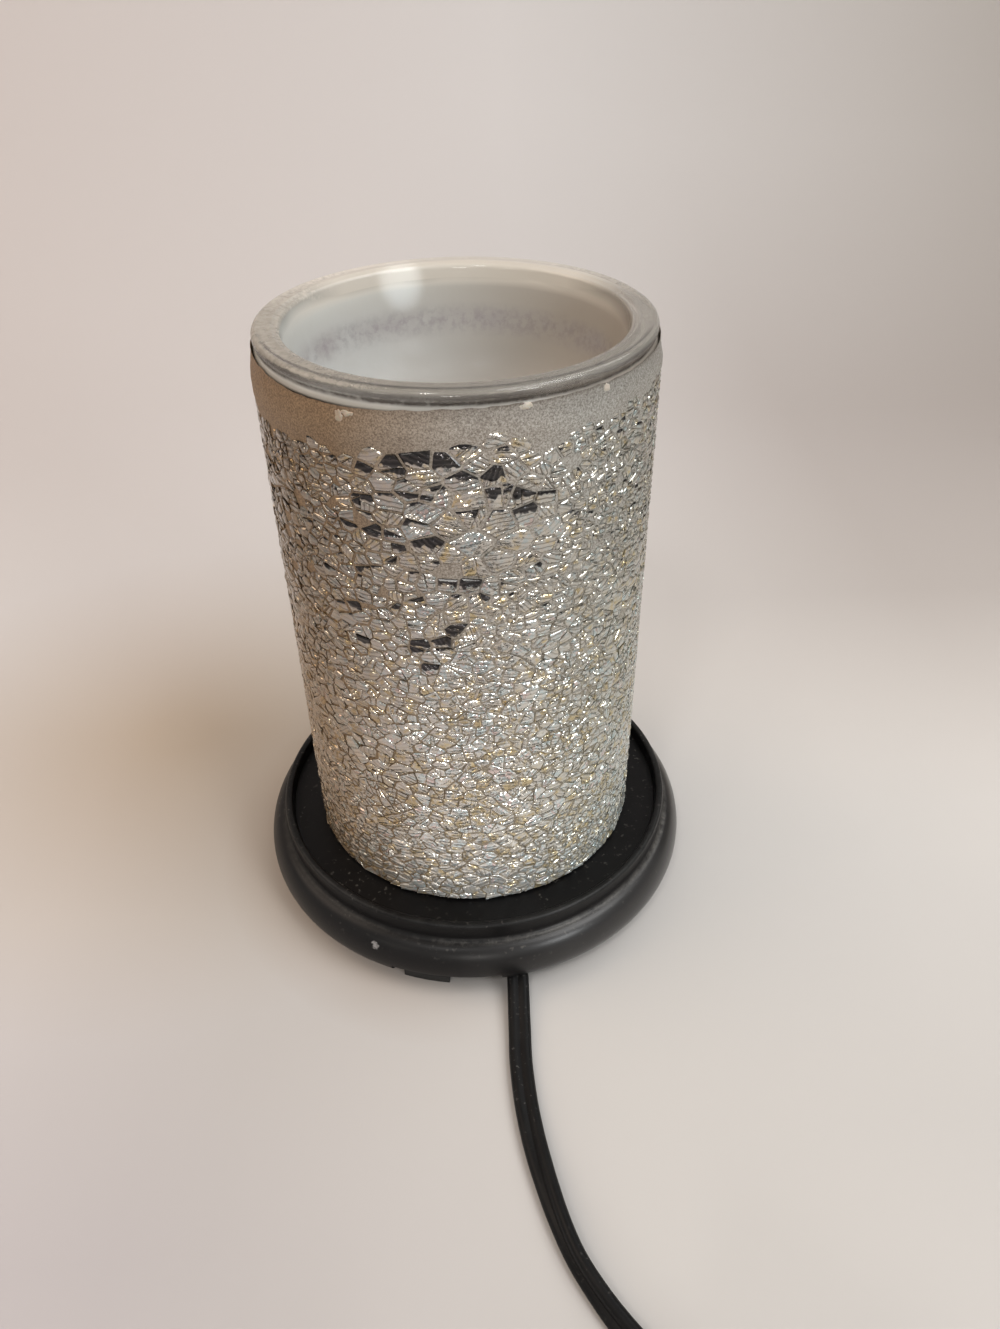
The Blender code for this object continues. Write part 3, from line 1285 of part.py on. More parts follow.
def switch_outline(inset=0.0):
    """An oval case with flat ends, seen from above."""
    half = SWITCH_LENGTH / 2 - inset
    end = SWITCH_END_WIDTH / 2 - inset
    bulge = (SWITCH_WIDTH - SWITCH_END_WIDTH) / 2
    steps = 10
    side = []
    for step in range(steps + 1):
        along = half * math.cos(math.pi * step / steps)
        side.append((along, end + bulge * math.sin(math.pi * step / steps)))
    return side + [(-x, -y) for x, y in side]


def switch_half(name, low, high, rounded_low, parent):
    """One half of the case, its outer edge rounded in two steps."""
    outside = low if rounded_low else high
    side = 1.0 if rounded_low else -1.0
    layers = [(outside, SWITCH_ROUND), (outside + side * SWITCH_ROUND * 0.3, SWITCH_ROUND * 0.3)]
    layers += [(outside + side * SWITCH_ROUND, 0.0), (high if rounded_low else low, 0.0)]
    shape = bmesh.new()
    rings = []
    for height, inset in layers:
        rings.append([shape.verts.new((x, y, height)) for x, y in switch_outline(inset)])
    for lower, upper in zip(rings, rings[1:]):
        for index in range(len(lower)):
            after = (index + 1) % len(lower)
            shape.faces.new((lower[index], lower[after], upper[after], upper[index]))
    shape.faces.new(rings[0])
    shape.faces.new(rings[-1])
    return stand(name, mesh_from(shape, name), BLACK_PLASTIC, parent)


def make_switch():
    place = bpy.data.objects.new("switch_place", None)
    bpy.context.scene.collection.objects.link(place)
    place.location = (*SWITCH_PLACE, 0.0)
    place.rotation_euler.z = math.radians(SWITCH_DEGREES)
    middle = SWITCH_HEIGHT / 2
    bottom = switch_half("switch_case_bottom", 0.0, middle - GAP / 2, True, place)
    top = switch_half("switch_case_top", middle + GAP / 2, SWITCH_HEIGHT, False, place)
    half_room = WHEEL_THICKNESS / 2 + GAP
    room_radius = WHEEL_RADIUS + 2 * GAP
    axle = (0.0, WHEEL_OFFSET)
    room = rod_tool("wheel_room", room_radius, middle - half_room, middle + half_room, axle, 24, place)
    cut(bottom, room)
    cut(top, room)
    post_top = middle + half_room + WHEEL_POST_REACH
    fuse(bottom, rod_tool(
        "wheel_post", WHEEL_POST_RADIUS, middle - half_room - WHEEL_POST_ROOT, post_top, axle, parent=place
    ))
    cut(top, rod_tool("wheel_post_hole", WHEEL_POST_RADIUS + GAP, middle, post_top + GAP, axle, parent=place))
    for index, side in enumerate((-1, 1)):
        spot = (side * SWITCH_SCREW_PLACE, 0.0)
        head_low = SWITCH_HEIGHT - SWITCH_SCREW_HEAD - GAP
        bore = [
            (0.0, SWITCH_SCREW_FLOOR - GAP),
            (SWITCH_SCREW_RADIUS + GAP, SWITCH_SCREW_FLOOR - GAP),
            (SWITCH_SCREW_RADIUS + GAP, head_low - GAP),
            (SWITCH_SCREW_HEAD_RADIUS + GAP, head_low - GAP),
            (SWITCH_SCREW_HEAD_RADIUS + GAP, SWITCH_HEIGHT + GAP),
            (0.0, SWITCH_HEIGHT + GAP),
        ]
        hole = turned_tool(f"switch_bore_{index}", bore, spot, parent=place)
        cut(bottom, hole)
        cut(top, hole)
        screw(
            f"switch_screw_{index + 1}", spot, SWITCH_SCREW_RADIUS, SWITCH_SCREW_FLOOR, head_low,
            SWITCH_SCREW_HEAD_RADIUS, SWITCH_SCREW_HEAD, STEEL, place,
        )
    make_switch_wheel(place, axle, middle)


def make_switch_wheel(place, axle, middle):
    rim = []
    for index in range(2 * WHEEL_KNURLS):
        radius = WHEEL_RADIUS - (index % 2) * WHEEL_KNURL_DEPTH
        point = polar(radius, index * 180.0 / WHEEL_KNURLS)
        rim.append((point.x, point.y))
    wheel = prism("switch_wheel", rim, -WHEEL_THICKNESS / 2, WHEEL_THICKNESS / 2, BLACK_PLASTIC, place)
    wheel.location = (*axle, middle)
    bore = rod_tool(
        "wheel_bore", WHEEL_POST_RADIUS + RUNNING, middle - WHEEL_THICKNESS, middle + WHEEL_THICKNESS, axle,
        parent=place,
    )
    cut(wheel, bore)


def rounded_section(width, height, corner, steps=3):
    """A rectangle with round corners, seen from the end."""
    points = []
    for index, (sx, sy) in enumerate(((1, 1), (-1, 1), (-1, -1), (1, -1))):
        centre = (sx * (width / 2 - corner), sy * (height / 2 - corner))
        points += arc(centre, (corner, corner), 90 * index, 90 * index + 90, steps)
    return points


def make_plug():
    place = bpy.data.objects.new("plug_place", None)
    bpy.context.scene.collection.objects.link(place)
    place.location = (*PLUG_PLACE, PLUG_HEIGHT / 2)
    place.rotation_euler.z = math.radians(PLUG_DEGREES)
    sections = [(-PLUG_RELIEF, PLUG_RELIEF_WIDTH, PLUG_RELIEF_WIDTH)]
    for index in range(4):
        along = -PLUG_RELIEF * (0.8 - 0.2 * index)
        wide = PLUG_RIB_WIDTH + PLUG_RIB_GROWTH * index
        high = wide * 0.92
        sections.append((along - 0.6 * PLUG_RIB_STEP, wide, high))
        sections.append((along + 0.8 * PLUG_RIB_STEP, wide - PLUG_RIB_STEP, high - PLUG_RIB_STEP))
    for along, wide, high in PLUG_SWELL:
        sections.append((along * PLUG_LENGTH, wide * PLUG_WIDTH, high * PLUG_HEIGHT))
    sections.append((PLUG_LENGTH, PLUG_WIDTH - 2 * PLUG_FACE_ROUND, PLUG_HEIGHT - 2 * PLUG_FACE_ROUND))
    shape = bmesh.new()
    rings = []
    for along, width, height in sections:
        corner = 0.32 * min(width, height)
        rings.append([shape.verts.new((along, y, z)) for y, z in rounded_section(width, height, corner)])
    for near, far in zip(rings, rings[1:]):
        for index in range(len(near)):
            after = (index + 1) % len(near)
            shape.faces.new((near[index], near[after], far[after], far[index]))
    shape.faces.new(rings[0])
    shape.faces.new(rings[-1])
    body = stand("plug_body", mesh_from(shape, "plug_body"), BLACK_PLASTIC, place)
    for index, (side, width) in enumerate(((-1, BLADE_WIDTH), (1, BLADE_WIDE_WIDTH))):
        y = side * BLADE_SPACING / 2
        slot_length = 2 * (BLADE_SEAT + GAP)
        slot = prism_mesh(
            "blade_slot", rectangle(slot_length, BLADE_THICKNESS + 2 * GAP), -width / 2 - GAP, width / 2 + GAP
        )
        cut(body, tool(f"blade_slot_{index}", slot, (PLUG_LENGTH, y, 0), 0.0, place))
        back = PLUG_LENGTH - BLADE_SEAT
        tip = PLUG_LENGTH + BLADE_LENGTH
        half = BLADE_THICKNESS / 2
        outline = [(back, -half), (tip - BLADE_POINT, -half), (tip, -half * 0.4), (tip, half * 0.4)]
        outline += [(tip - BLADE_POINT, half), (back, half)]
        blade = prism(f"plug_blade_{index + 1}", outline, -width / 2, width / 2, BRASS, place)
        blade.location = (0, y, 0)
        hole = rod_tool(
            f"blade_hole_{index}", BLADE_HOLE_RADIUS, -BLADE_THICKNESS, BLADE_THICKNESS, parent=place
        )
        hole.location = (tip - BLADE_HOLE_INSET, y, 0)
        hole.rotation_euler = (math.radians(90.0), 0, 0)
        cut(blade, hole)


def build():
    clear_scene()
    make_feet()
    make_bottom_cover()
    make_base_housing()
    make_heat_shield()
    make_shade()
    make_mosaic_coat()
    make_dish()
    make_lamp_bracket()
    make_lampholder()
    make_lamp()
    make_wires()
    make_cord_clamp()
    make_cords()
    make_switch()
    make_plug()


build()
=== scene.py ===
"""The looks of a mosaic wax warmer: crackled mirror shade, glass dish, black base, lamp and lead."""

import cmath
import json
import math
import random
from functools import partialmethod

import bpy
from mathutils import Matrix, Vector, noise

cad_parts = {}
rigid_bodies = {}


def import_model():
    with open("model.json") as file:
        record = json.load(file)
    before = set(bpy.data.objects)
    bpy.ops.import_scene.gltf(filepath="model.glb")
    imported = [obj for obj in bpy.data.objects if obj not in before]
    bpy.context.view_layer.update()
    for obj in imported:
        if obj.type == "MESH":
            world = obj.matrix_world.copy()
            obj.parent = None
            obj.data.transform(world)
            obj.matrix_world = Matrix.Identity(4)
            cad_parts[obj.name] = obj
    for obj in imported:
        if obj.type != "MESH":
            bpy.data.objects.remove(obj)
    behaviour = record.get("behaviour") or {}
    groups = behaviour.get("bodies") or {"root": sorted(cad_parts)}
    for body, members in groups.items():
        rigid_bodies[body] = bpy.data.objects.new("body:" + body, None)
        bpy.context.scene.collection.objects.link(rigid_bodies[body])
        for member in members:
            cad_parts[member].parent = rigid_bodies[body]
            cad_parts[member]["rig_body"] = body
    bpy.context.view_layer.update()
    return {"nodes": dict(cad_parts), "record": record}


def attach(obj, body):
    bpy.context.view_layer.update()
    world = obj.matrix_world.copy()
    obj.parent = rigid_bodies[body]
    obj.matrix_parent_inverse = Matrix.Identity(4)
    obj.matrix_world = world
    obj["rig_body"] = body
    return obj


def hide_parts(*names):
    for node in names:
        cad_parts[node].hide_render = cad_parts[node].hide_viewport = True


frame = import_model()

MM = 0.001
GAP = 0.3 * MM

# Camera, from the photograph's frame
IMAGE_HEIGHT = 1329
FOCAL_PIXELS = 1000.0
SENSOR = 36.0
CAMERA_PLACE = (0.0, -0.2144, 0.2252)
CAMERA_RIGHT = (0.99873, -0.04840, -0.01385)
CAMERA_UP = (0.04037, 0.60551, 0.79478)
CAMERA_AHEAD = (0.03009, 0.79433, -0.60670)
CLIP_START = 0.01

# Lead, as it lies
CORD_WIDTH = 5.6 * MM
CORD_THICKNESS = 2.8 * MM
CORD_REST = 0.1 * MM
CORD_EXIT_X = 9.1 * MM
CORD_SEAM = 0.62
CLAMP_Y = -41.0 * MM
CLAMP_HEIGHT = 9.6 * MM
SWITCH_PLACE = (62.0 * MM, -183.5 * MM)
SWITCH_DEGREES = -51.7
SWITCH_LENGTH = 54.0 * MM
SWITCH_HEIGHT = 16.0 * MM
PLUG_PLACE = (-34.0 * MM, -199.7 * MM)
PLUG_DEGREES = 110.0
PLUG_RELIEF = 16.0 * MM
PLUG_HEIGHT = 14.0 * MM
PLUG_ROLL = 62.0
COIL_CENTRE = (12.0 * MM, -206.0 * MM)
COIL_MID_RADIUS = 31.4 * MM
COIL_PITCH = 3.4 * MM
COIL_LAYER_GAP = 0.5 * MM
COIL_TURNS = 6.125
COIL_CLIMB_TURNS = 0.5
COIL_CLIMB_DIP = 1.6 * MM
COIL_START_ANGLE = -90.0
COIL_POINTS_A_TURN = 48
ROUTE_STEPS = 4

# Merging and softening of meshes
MERGE_DISTANCE = 0.001 * MM
WELD_DISTANCE = 0.002 * MM
FLAT_ANGLE = math.radians(1.0)
SHARP_ANGLE = 35.0
EDGE_WIDTH = 0.12 * MM
LEAD_SHARP, BASE_SHARP, ROD_SHARP, DISH_SHARP = 45.0, 32.0, 35.0, 50.0
FLECK_SHARP, FILM_SHARP = 70.0, 80.0

# Glass cylinder, dish and base, in millimetres
TUBE_LOW, TUBE_HIGH, TUBE_INNER, TUBE_OUTER, TUBE_EDGE = 18.3, 150.6, 39.5, 42.5, 0.7
DISH_TOP = 155.88
DISH_SEAT = 150.9
DISH_RIM = 43.0
DISH_BEAD = 1.3
BOWL_UNDER = 125.5
BOWL_FLOOR = 128.5
BOWL_FLAT = 12.0
BOWL_CURVE = 25.0
WAX_SKIN = 0.08
NOTCH_INNER, NOTCH_OUTER, NOTCH_LOW, NOTCH_ROOF = 53.0, 64.0, 1.0, 7.2
NOTCH_TURN, NOTCH_SWEEP = 85.0, 28.0
DECK_LOW = 16.0 * MM
HOLDER_SCREW_X = 25.0 * MM

# Mosaic
SHADE_RADIUS = 43.6 * MM
SHADE_GIRTH = math.tau * SHADE_RADIUS
CHIP_SPACING = (1.5 * MM, 5.8 * MM)
CHIP_CELL = CHIP_SPACING[0]
CHIP_COLUMNS = int(SHADE_GIRTH / CHIP_CELL)
CHIP_SQUASH = 1.3
CHIP_GROUT = 0.24 * MM
CHIP_EDGE = 0.3 * MM
CHIP_TILT = 8.0
CHIP_SEED = 41
CHIP_TRIES = 120000
CHIP_LOW = 18.9 * MM
CHIP_HIGH = 148.6 * MM
CHIP_TOPS = (
    (-180, 143.0), (-155, 142.5), (-120, 144.7), (-80, 147.4), (-65, 145.4), (-40, 147.4), (0, 146.5),
    (90, 145.0), (180, 143.0),
)
CHIP_ROOT = 43.2 * MM
CHIP_FACE = 44.1 * MM
CHIP_RIM = 0.16 * MM
CHIP_LIMIT = 44.48 * MM
CHIP_LEAST_SIDE = 0.3 * MM
CHIP_LEAST_AREA = 0.5 * MM * MM
CHIP_CRACK = 0.05 * MM
CHIP_CRACKED, CHIP_CRACKED_AGAIN = 0.5, 0.45
CHIP_SMALL, CHIP_SMALLER_BY = 0.35, 0.78
CHIP_MISSING = 0.04
CHIP_FACETED = 0.65
CHIP_MAP_SPREAD = 90.0
# The chips' colour ramp: the mirror's own cream-to-silver tone, with gold, icy and pink stops that are painted
# coloured glints.
CHIP_TINTS_AND_GLINTS = (
    (0.26, (1.0, 0.82, 0.50)), (0.34, (1.0, 0.90, 0.70)), (0.41, (0.97, 0.92, 0.83)),
    (0.58, (0.93, 0.92, 0.89)), (0.65, (0.86, 0.92, 0.92)), (0.70, (0.76, 0.91, 0.95)),
    (0.78, (0.95, 0.80, 0.77)),
)
GROUT_INNER = 42.8 * MM
GROUT_BOTTOM = 18.3 * MM
GROUT_TOP = 150.2 * MM
GROUT_FACE = 43.82 * MM
GROUT_COLLAR = 0.55 * MM
GROUT_LIMIT = 44.46 * MM
GROUT_STEPS = 96
COLLAR_TOP = 153.1 * MM
COLLAR_INNER = 43.3 * MM
COLLAR_SHOULDER = 146.5 * MM
COLLAR_ROUND = 0.98 * MM
FLECK_RADIUS = 44.25 * MM
FLECKS = (
    ("wax_fleck_front", -74.0, 152.2, (1.3, 0.35, 0.75)), ("wax_fleck_right", -50.0, 151.9, (0.8, 0.35, 0.9)),
    ("wax_drip_left", -121.0, 149.6, (0.9, 0.25, 1.3)), ("wax_drip_top", -118.5, 150.4, (1.3, 0.25, 0.6)),
)

# Colours and places of the finishes, painted light and shade among them; the rim's painted dark refraction lines
# are (radius, height, width, strength)
RIM_REFRACTION_LINES = ((41.6, 155.95, 0.7, 0.55), (43.05, 154.5, 0.9, 0.75), (42.75, 153.35, 0.8, 0.75))
# Where the shade's left side is painted darker and browner as painted shade, in millimetres along x.
SHADED_LEFT_SIDE = (-7.0, -36.0)
GLASS_IOR = 1.5
SPECK_PLACE = (-0.02724, -0.05243, 0.01252)
FLOOR_COLOUR = (0.582, 0.559, 0.538)
FLOOR_LIT_RIGHT = (0.672, 0.64, 0.61)
BACKDROP_LEFT = (0.634, 0.589, 0.578)
BACKDROP_COLOUR = (0.65, 0.629, 0.624)
BACKDROP_SHADED = (0.375, 0.34, 0.31)
WORLD_COLOUR = (0.34, 0.34, 0.34)
WORLD_LEFT = (0.24, 0.18, 0.13)
WORLD_SEEN = (0.52, 0.50, 0.48)
WORLD_DARK = (0.03, 0.029, 0.03)


def polar(radius, degrees, height=0.0):
    turn = math.radians(degrees)
    return Vector((radius * math.cos(turn), radius * math.sin(turn), height))


def placed(name, data):
    """A new object in the scene."""
    piece = bpy.data.objects.new(name, data)
    bpy.context.scene.collection.objects.link(piece)
    return piece


def meshed(name, points, faces):
    mesh = bpy.data.meshes.new(name)
    mesh.from_pydata(points, [], faces)
    return placed(name, mesh)


# Camera


def make_camera():
    data = bpy.data.cameras.new("camera")
    data.sensor_width = SENSOR
    data.lens = SENSOR * FOCAL_PIXELS / IMAGE_HEIGHT
    data.clip_start = CLIP_START
    camera = placed("camera", data)
    turned_to = Matrix((CAMERA_RIGHT, CAMERA_UP, -Vector(CAMERA_AHEAD))).transposed().to_4x4()
    camera.matrix_world = Matrix.Translation(CAMERA_PLACE) @ turned_to
    bpy.context.scene.camera = camera


# Lead


def eased(share):
    share = min(max(share, 0.0), 1.0)
    return share * share * (3.0 - 2.0 * share)


def lying(x, y, roll, lift=0.0):
    """A point of the lead on the table: the roll is 0 where it lies flat and 90 where it is on edge."""
    half_thickness = CORD_THICKNESS / 2
    rise = (CORD_WIDTH / 2 - half_thickness) * abs(math.sin(math.radians(roll)))
    return (x * MM, y * MM, CORD_REST + half_thickness + rise + lift * MM, roll)


def switch_end(side, beyond):
    ahead = polar((SWITCH_LENGTH / 2 + beyond) * side, SWITCH_DEGREES)
    return (SWITCH_PLACE[0] + ahead.x, SWITCH_PLACE[1] + ahead.y, SWITCH_HEIGHT / 2, 0.0)


def plug_end(beyond, roll):
    behind = polar(PLUG_RELIEF + beyond, PLUG_DEGREES)
    return (PLUG_PLACE[0] - behind.x, PLUG_PLACE[1] - behind.y, PLUG_HEIGHT / 2, roll)


def carried_on(route, distance):
    last = Vector(route[-1][:3])
    ahead = (last - Vector(route[-2][:3])).normalized() * distance
    return (*(last + ahead), route[-1][3])


def coil_route():
    """Wound inwards on the table and back outwards on top of itself, on edge all the way."""
    inner = COIL_MID_RADIUS - COIL_PITCH * COIL_TURNS / 4
    low = CORD_REST + CORD_WIDTH / 2
    layer = CORD_WIDTH + COIL_LAYER_GAP
    count = round(COIL_TURNS * COIL_POINTS_A_TURN)
    route = []
    for step in range(count + 1):
        turn = COIL_TURNS * step / count
        from_middle = turn - COIL_TURNS / 2
        dip = COIL_CLIMB_DIP * eased(2.0 - 2.0 * abs(from_middle) / COIL_CLIMB_TURNS)
        radius = inner + COIL_PITCH * abs(from_middle) - dip
        height = low + layer * eased(0.5 + from_middle / COIL_CLIMB_TURNS)
        place = polar(radius, COIL_START_ANGLE - 360.0 * turn)
        route.append((COIL_CENTRE[0] + place.x, COIL_CENTRE[1] + place.y, height, 90.0))
    return route


def between(ends, share):
    weights = (
        -0.5 * share + share**2 - 0.5 * share**3,
        1.0 - 2.5 * share**2 + 1.5 * share**3,
        0.5 * share + 2.0 * share**2 - 1.5 * share**3,
        -0.5 * share**2 + 0.5 * share**3,
    )
    return [sum(weight * value for weight, value in zip(weights, values)) for values in zip(*ends)]


def smooth_route(points):
    """Reads a smooth curve through given points."""
    last = len(points) - 1
    route = []
    for index in range(last):
        ends = [points[max(index - 1, 0)], points[index], points[index + 1], points[min(index + 2, last)]]
        route += [between(ends, step / ROUTE_STEPS) for step in range(ROUTE_STEPS)]
    return route + [list(points[-1])]


def twin_section():
    """Two round cores side by side with a groove between them, as (across, up) points."""
    radius = CORD_THICKNESS / 2
    offset = CORD_WIDTH / 2 - radius
    points = []
    for side in (1, -1):
        for step in range(13):
            turn = math.radians((-120 + 20 * step) if side > 0 else (60 + 20 * step))
            points.append((side * offset + radius * math.cos(turn), radius * math.sin(turn)))
        points.append((0.0, side * radius * CORD_SEAM))
    return points


def swept_lead(name, route):
    """Sweeps the twin section along the route; the fourth value of a point is its roll."""
    section = twin_section()
    points = []
    faces = []
    for index, place in enumerate(route):
        before = Vector(route[max(index - 1, 0)][:3])
        after = Vector(route[min(index + 1, len(route) - 1)][:3])
        ahead = (after - before).normalized()
        level = Vector((0, 0, 1)).cross(ahead).normalized()
        up = ahead.cross(level)
        roll = math.radians(place[3])
        across = level * math.cos(roll) + up * math.sin(roll)
        thick = up * math.cos(roll) - level * math.sin(roll)
        for wide, high in section:
            points.append(Vector(place[:3]) + across * wide + thick * high)
    size = len(section)
    for ring in range(len(route) - 1):
        faces += ring_faces(ring * size, size)
    faces.append(tuple(range(size))[::-1])
    faces.append(tuple(range(size * (len(route) - 1), size * len(route))))
    piece = meshed(name, points, faces)
    tidy_mesh(piece, LEAD_SHARP)
    return piece


def ring_faces(start, size):
    """The faces between a ring of points and the next ring, which follows it."""
    faces = []
    for side in range(size):
        after = (side + 1) % size
        faces.append((start + side, start + after, start + size + after, start + size + side))
    return faces


LEAD_POINTS = [
    (CORD_EXIT_X, CLAMP_Y + 4.7 * MM, CLAMP_HEIGHT, 0.0),
    (CORD_EXIT_X, CLAMP_Y, CLAMP_HEIGHT, 0.0),
    (CORD_EXIT_X, CLAMP_Y - 4.5 * MM, CLAMP_HEIGHT - 0.6 * MM, 0.0),
    *(lying(*row) for row in (
        (9.1, -50.0, 0, 5.5), (9.1, -55.0, 0, 3.4), (9.1, -60.0, 0, 2.0), (8.9, -66.0, 0, 0.9),
        (8.7, -73.0, 0, 0.2), (8.5, -80.6, 2), (9.0, -90.8, 8), (10.2, -100.3, 20), (12.0, -109.3, 38),
        (14.2, -117.8, 54), (17.1, -125.8, 62), (21.4, -133.5, 60), (26.0, -140.0, 48),
        (32.0, -147.5, 24, 0.8), (38.5, -154.6, 6, 3.4),
    )),
    switch_end(-1, CORD_WIDTH),
    switch_end(-1, GAP),
]


def far_points():
    """From the switch through the coil to the plug."""
    coil = coil_route()
    start = [
        switch_end(1, GAP),
        switch_end(1, CORD_WIDTH),
        *(lying(*row) for row in (
            (86.0, -213.5, 12, 2.6), (88.0, -223.0, 40, 0.4), (83.5, -233.0, 65),
            (73.5, -240.0, 82), (60.0, -243.6, 90), (46.0, -244.3, 90),
        )),
        carried_on(coil[::-1], 4 * CORD_WIDTH),
        carried_on(coil[::-1], 1.5 * CORD_WIDTH),
        coil[0],
    ]
    end = [
        coil[-1],
        carried_on(coil, CORD_WIDTH),
        carried_on(coil, 2 * CORD_WIDTH),
        (-26.4 * MM, -219.6 * MM, 7.9 * MM, 72.0),
        plug_end(CORD_WIDTH / 2, PLUG_ROLL),
        plug_end(GAP, PLUG_ROLL),
    ]
    return smooth_route(start)[:-1] + coil + smooth_route(end)[1:]


# Mesh helpers


def hold(piece):
    """Selects one piece alone and makes it the active one."""
    bpy.ops.object.select_all(action="DESELECT")
    piece.select_set(True)
    bpy.context.view_layer.objects.active = piece


def pick_all():
    bpy.ops.mesh.select_all(action="SELECT")


def edit(piece):
    hold(piece)
    bpy.ops.object.mode_set(mode="EDIT")
    pick_all()


def done():
    bpy.ops.object.mode_set(mode="OBJECT")


def tidy_mesh(piece, angle):
    """Merges doubles, turns the faces outwards and smooths all but the sharp edges."""
    edit(piece)
    bpy.ops.mesh.remove_doubles(threshold=MERGE_DISTANCE)
    bpy.ops.mesh.normals_make_consistent(inside=False)
    done()
    bpy.ops.object.shade_smooth_by_angle(angle=math.radians(angle))


def named(name):
    """Names the piece that an operator has just added."""
    piece = bpy.context.object
    piece.name = piece.data.name = name
    return piece


def settle(piece):
    """Writes a piece's place, turn and scale into its mesh."""
    hold(piece)
    bpy.ops.object.transform_apply(location=True, rotation=True, scale=True)


def arc(centre, radii, start, end, steps):
    points = []
    for step in range(steps + 1):
        turn = math.radians(start + (end - start) * step / steps)
        points.append((centre[0] + radii[0] * math.cos(turn), centre[1] + radii[1] * math.sin(turn)))
    return points


def in_mm(outline):
    return [(radius * MM, height * MM) for radius, height in outline]


def drawn(name, outline, closed):
    """Draws an outline of (radius, height) points by extruding one vertex along it; edit mode stays on."""
    bpy.ops.mesh.primitive_plane_add(size=MM)
    piece = named(name)
    edit(piece)
    bpy.ops.mesh.merge(type="CENTER")
    bpy.ops.transform.translate(value=(outline[0][0], 0, outline[0][1]))
    ring = outline + [outline[0]] if closed else outline
    for before, after in zip(ring, ring[1:]):
        step = (after[0] - before[0], 0, after[1] - before[1])
        bpy.ops.mesh.extrude_region_move(TRANSFORM_OT_translate={"value": step})
    pick_all()
    return piece


def turned(name, outline, steps=144, closed=True, angle=40.0):
    """Spins an outline about the upright axis."""
    piece = drawn(name, outline, closed)
    bpy.ops.mesh.spin(steps=steps, angle=math.tau, center=(0, 0, 0), axis=(0, 0, 1))
    done()
    tidy_mesh(piece, angle)
    return piece


def modified(piece, kind, **settings):
    """Adds a modifier to the held piece and applies it."""
    step = piece.modifiers.new(kind.lower(), kind)
    for key, value in settings.items():
        setattr(step, key, value)
    bpy.ops.object.modifier_apply(modifier=step.name)


def cut_away(piece, cutter):
    """Cuts one piece with another and deletes the cutter."""
    hold(piece)
    modified(piece, "BOOLEAN", operation="DIFFERENCE", solver="EXACT", object=cutter)
    bpy.data.objects.remove(cutter, do_unlink=True)


def smooth_copy(node, bevel):
    """A merged copy of a node, with softened edges, that stands for it."""
    name = node + "_look"
    mesh = frame["nodes"][node].data.copy()
    mesh.name = name
    piece = placed(name, mesh)
    hold(piece)
    modified(piece, "WELD", merge_threshold=WELD_DISTANCE)
    edit(piece)
    bpy.ops.mesh.tris_convert_to_quads()
    bpy.ops.mesh.dissolve_limited(angle_limit=FLAT_ANGLE)
    done()
    if bevel:
        sharp = math.radians(SHARP_ANGLE)
        modified(piece, "BEVEL", width=bevel, segments=2, limit_method="ANGLE", angle_limit=sharp)
    bpy.ops.object.shade_smooth_by_angle(angle=math.radians(SHARP_ANGLE))
    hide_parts(node)
    return piece


def dress(piece, material, body):
    """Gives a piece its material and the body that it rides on."""
    piece.data.materials.clear()
    piece.data.materials.append(material)
    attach(piece, body)
    return piece


# Node helpers


class Value:
    """A node's output, with ways to add the nodes that reckon with it or change it."""

    def __init__(self, socket):
        self.socket = socket
        self.tree = socket.id_data

    def maths(self, operation, other=0.0, clamp=False):
        node = add(self.tree, "ShaderNodeMath", {"operation": operation, "use_clamp": clamp})
        return fed(node, (self, other))

    __add__ = partialmethod(maths, "ADD")
    __sub__ = partialmethod(maths, "SUBTRACT")
    __mul__ = partialmethod(maths, "MULTIPLY")
    __truediv__ = partialmethod(maths, "DIVIDE")
    most = partialmethod(maths, "MAXIMUM")

    def spread(self, low, high, to_low=0.0, to_high=1.0):
        """Maps a range of values to another one, held at its ends."""
        return fed(add(self.tree, "ShaderNodeMapRange"), (self, low, high, to_low, to_high))

    def over(self, low, high, to_low=0.0, to_high=1.0):
        """Maps a range of millimetres."""
        return self.spread(low * MM, high * MM, to_low, to_high)

    def parts(self):
        """The x, y and z of a place."""
        return outputs_of(add(self.tree, "ShaderNodeSeparateXYZ", Vector=self))

    def away(self, point):
        """How far a place is from a point."""
        node = add(self.tree, "ShaderNodeVectorMath", {"operation": "DISTANCE"})
        return fed(node, (self, point), out="Value")

    def noisy(self, scale, detail=3.0, rough=0.5):
        """Noise at a place."""
        node = add(self.tree, "ShaderNodeTexNoise", Vector=self, Scale=scale, Detail=detail, Roughness=rough)
        return Value(node.outputs[0])

    def bump(self, distance, strength=1.0, under=None):
        """The normal of a height, on top of another normal."""
        node = add(self.tree, "ShaderNodeBump", Height=self, Distance=distance, Strength=strength)
        if under:
            put(node.inputs["Normal"], under)
        return Value(node.outputs[0])


def put(socket, value):
    """Links a value to a node's input, or sets the input's own value."""
    if isinstance(value, Value):
        value.tree.links.new(value.socket, socket)
    else:
        socket.default_value = value


def give(node, **inputs):
    """Gives a node inputs by name."""
    for key, value in inputs.items():
        put(node.inputs[key.replace("_", " ")], value)


def fed(node, values, places=range(5), out=0):
    """Gives a node inputs by number and returns one of its outputs, if it has any."""
    for place, value in zip(places, values):
        put(node.inputs[place], value)
    return Value(node.outputs[out]) if node.outputs else None


def add(tree, kind, settings=None, **inputs):
    """Adds a node; settings are its own properties."""
    node = tree.nodes.new(kind)
    for key, value in (settings or {}).items():
        setattr(node, key, value)
    give(node, **inputs)
    return node


def outputs_of(node):
    return [Value(socket) for socket in node.outputs]


def blend(factor, first, second, kind="MIX"):
    """Mixes two colours."""
    values = [(*value, 1.0) if isinstance(value, tuple) else value for value in (factor, first, second)]
    tree = next(value.tree for value in values if isinstance(value, Value))
    node = add(tree, "ShaderNodeMix", {"data_type": "RGBA", "blend_type": kind})
    return fed(node, values, (0, 6, 7), 2)


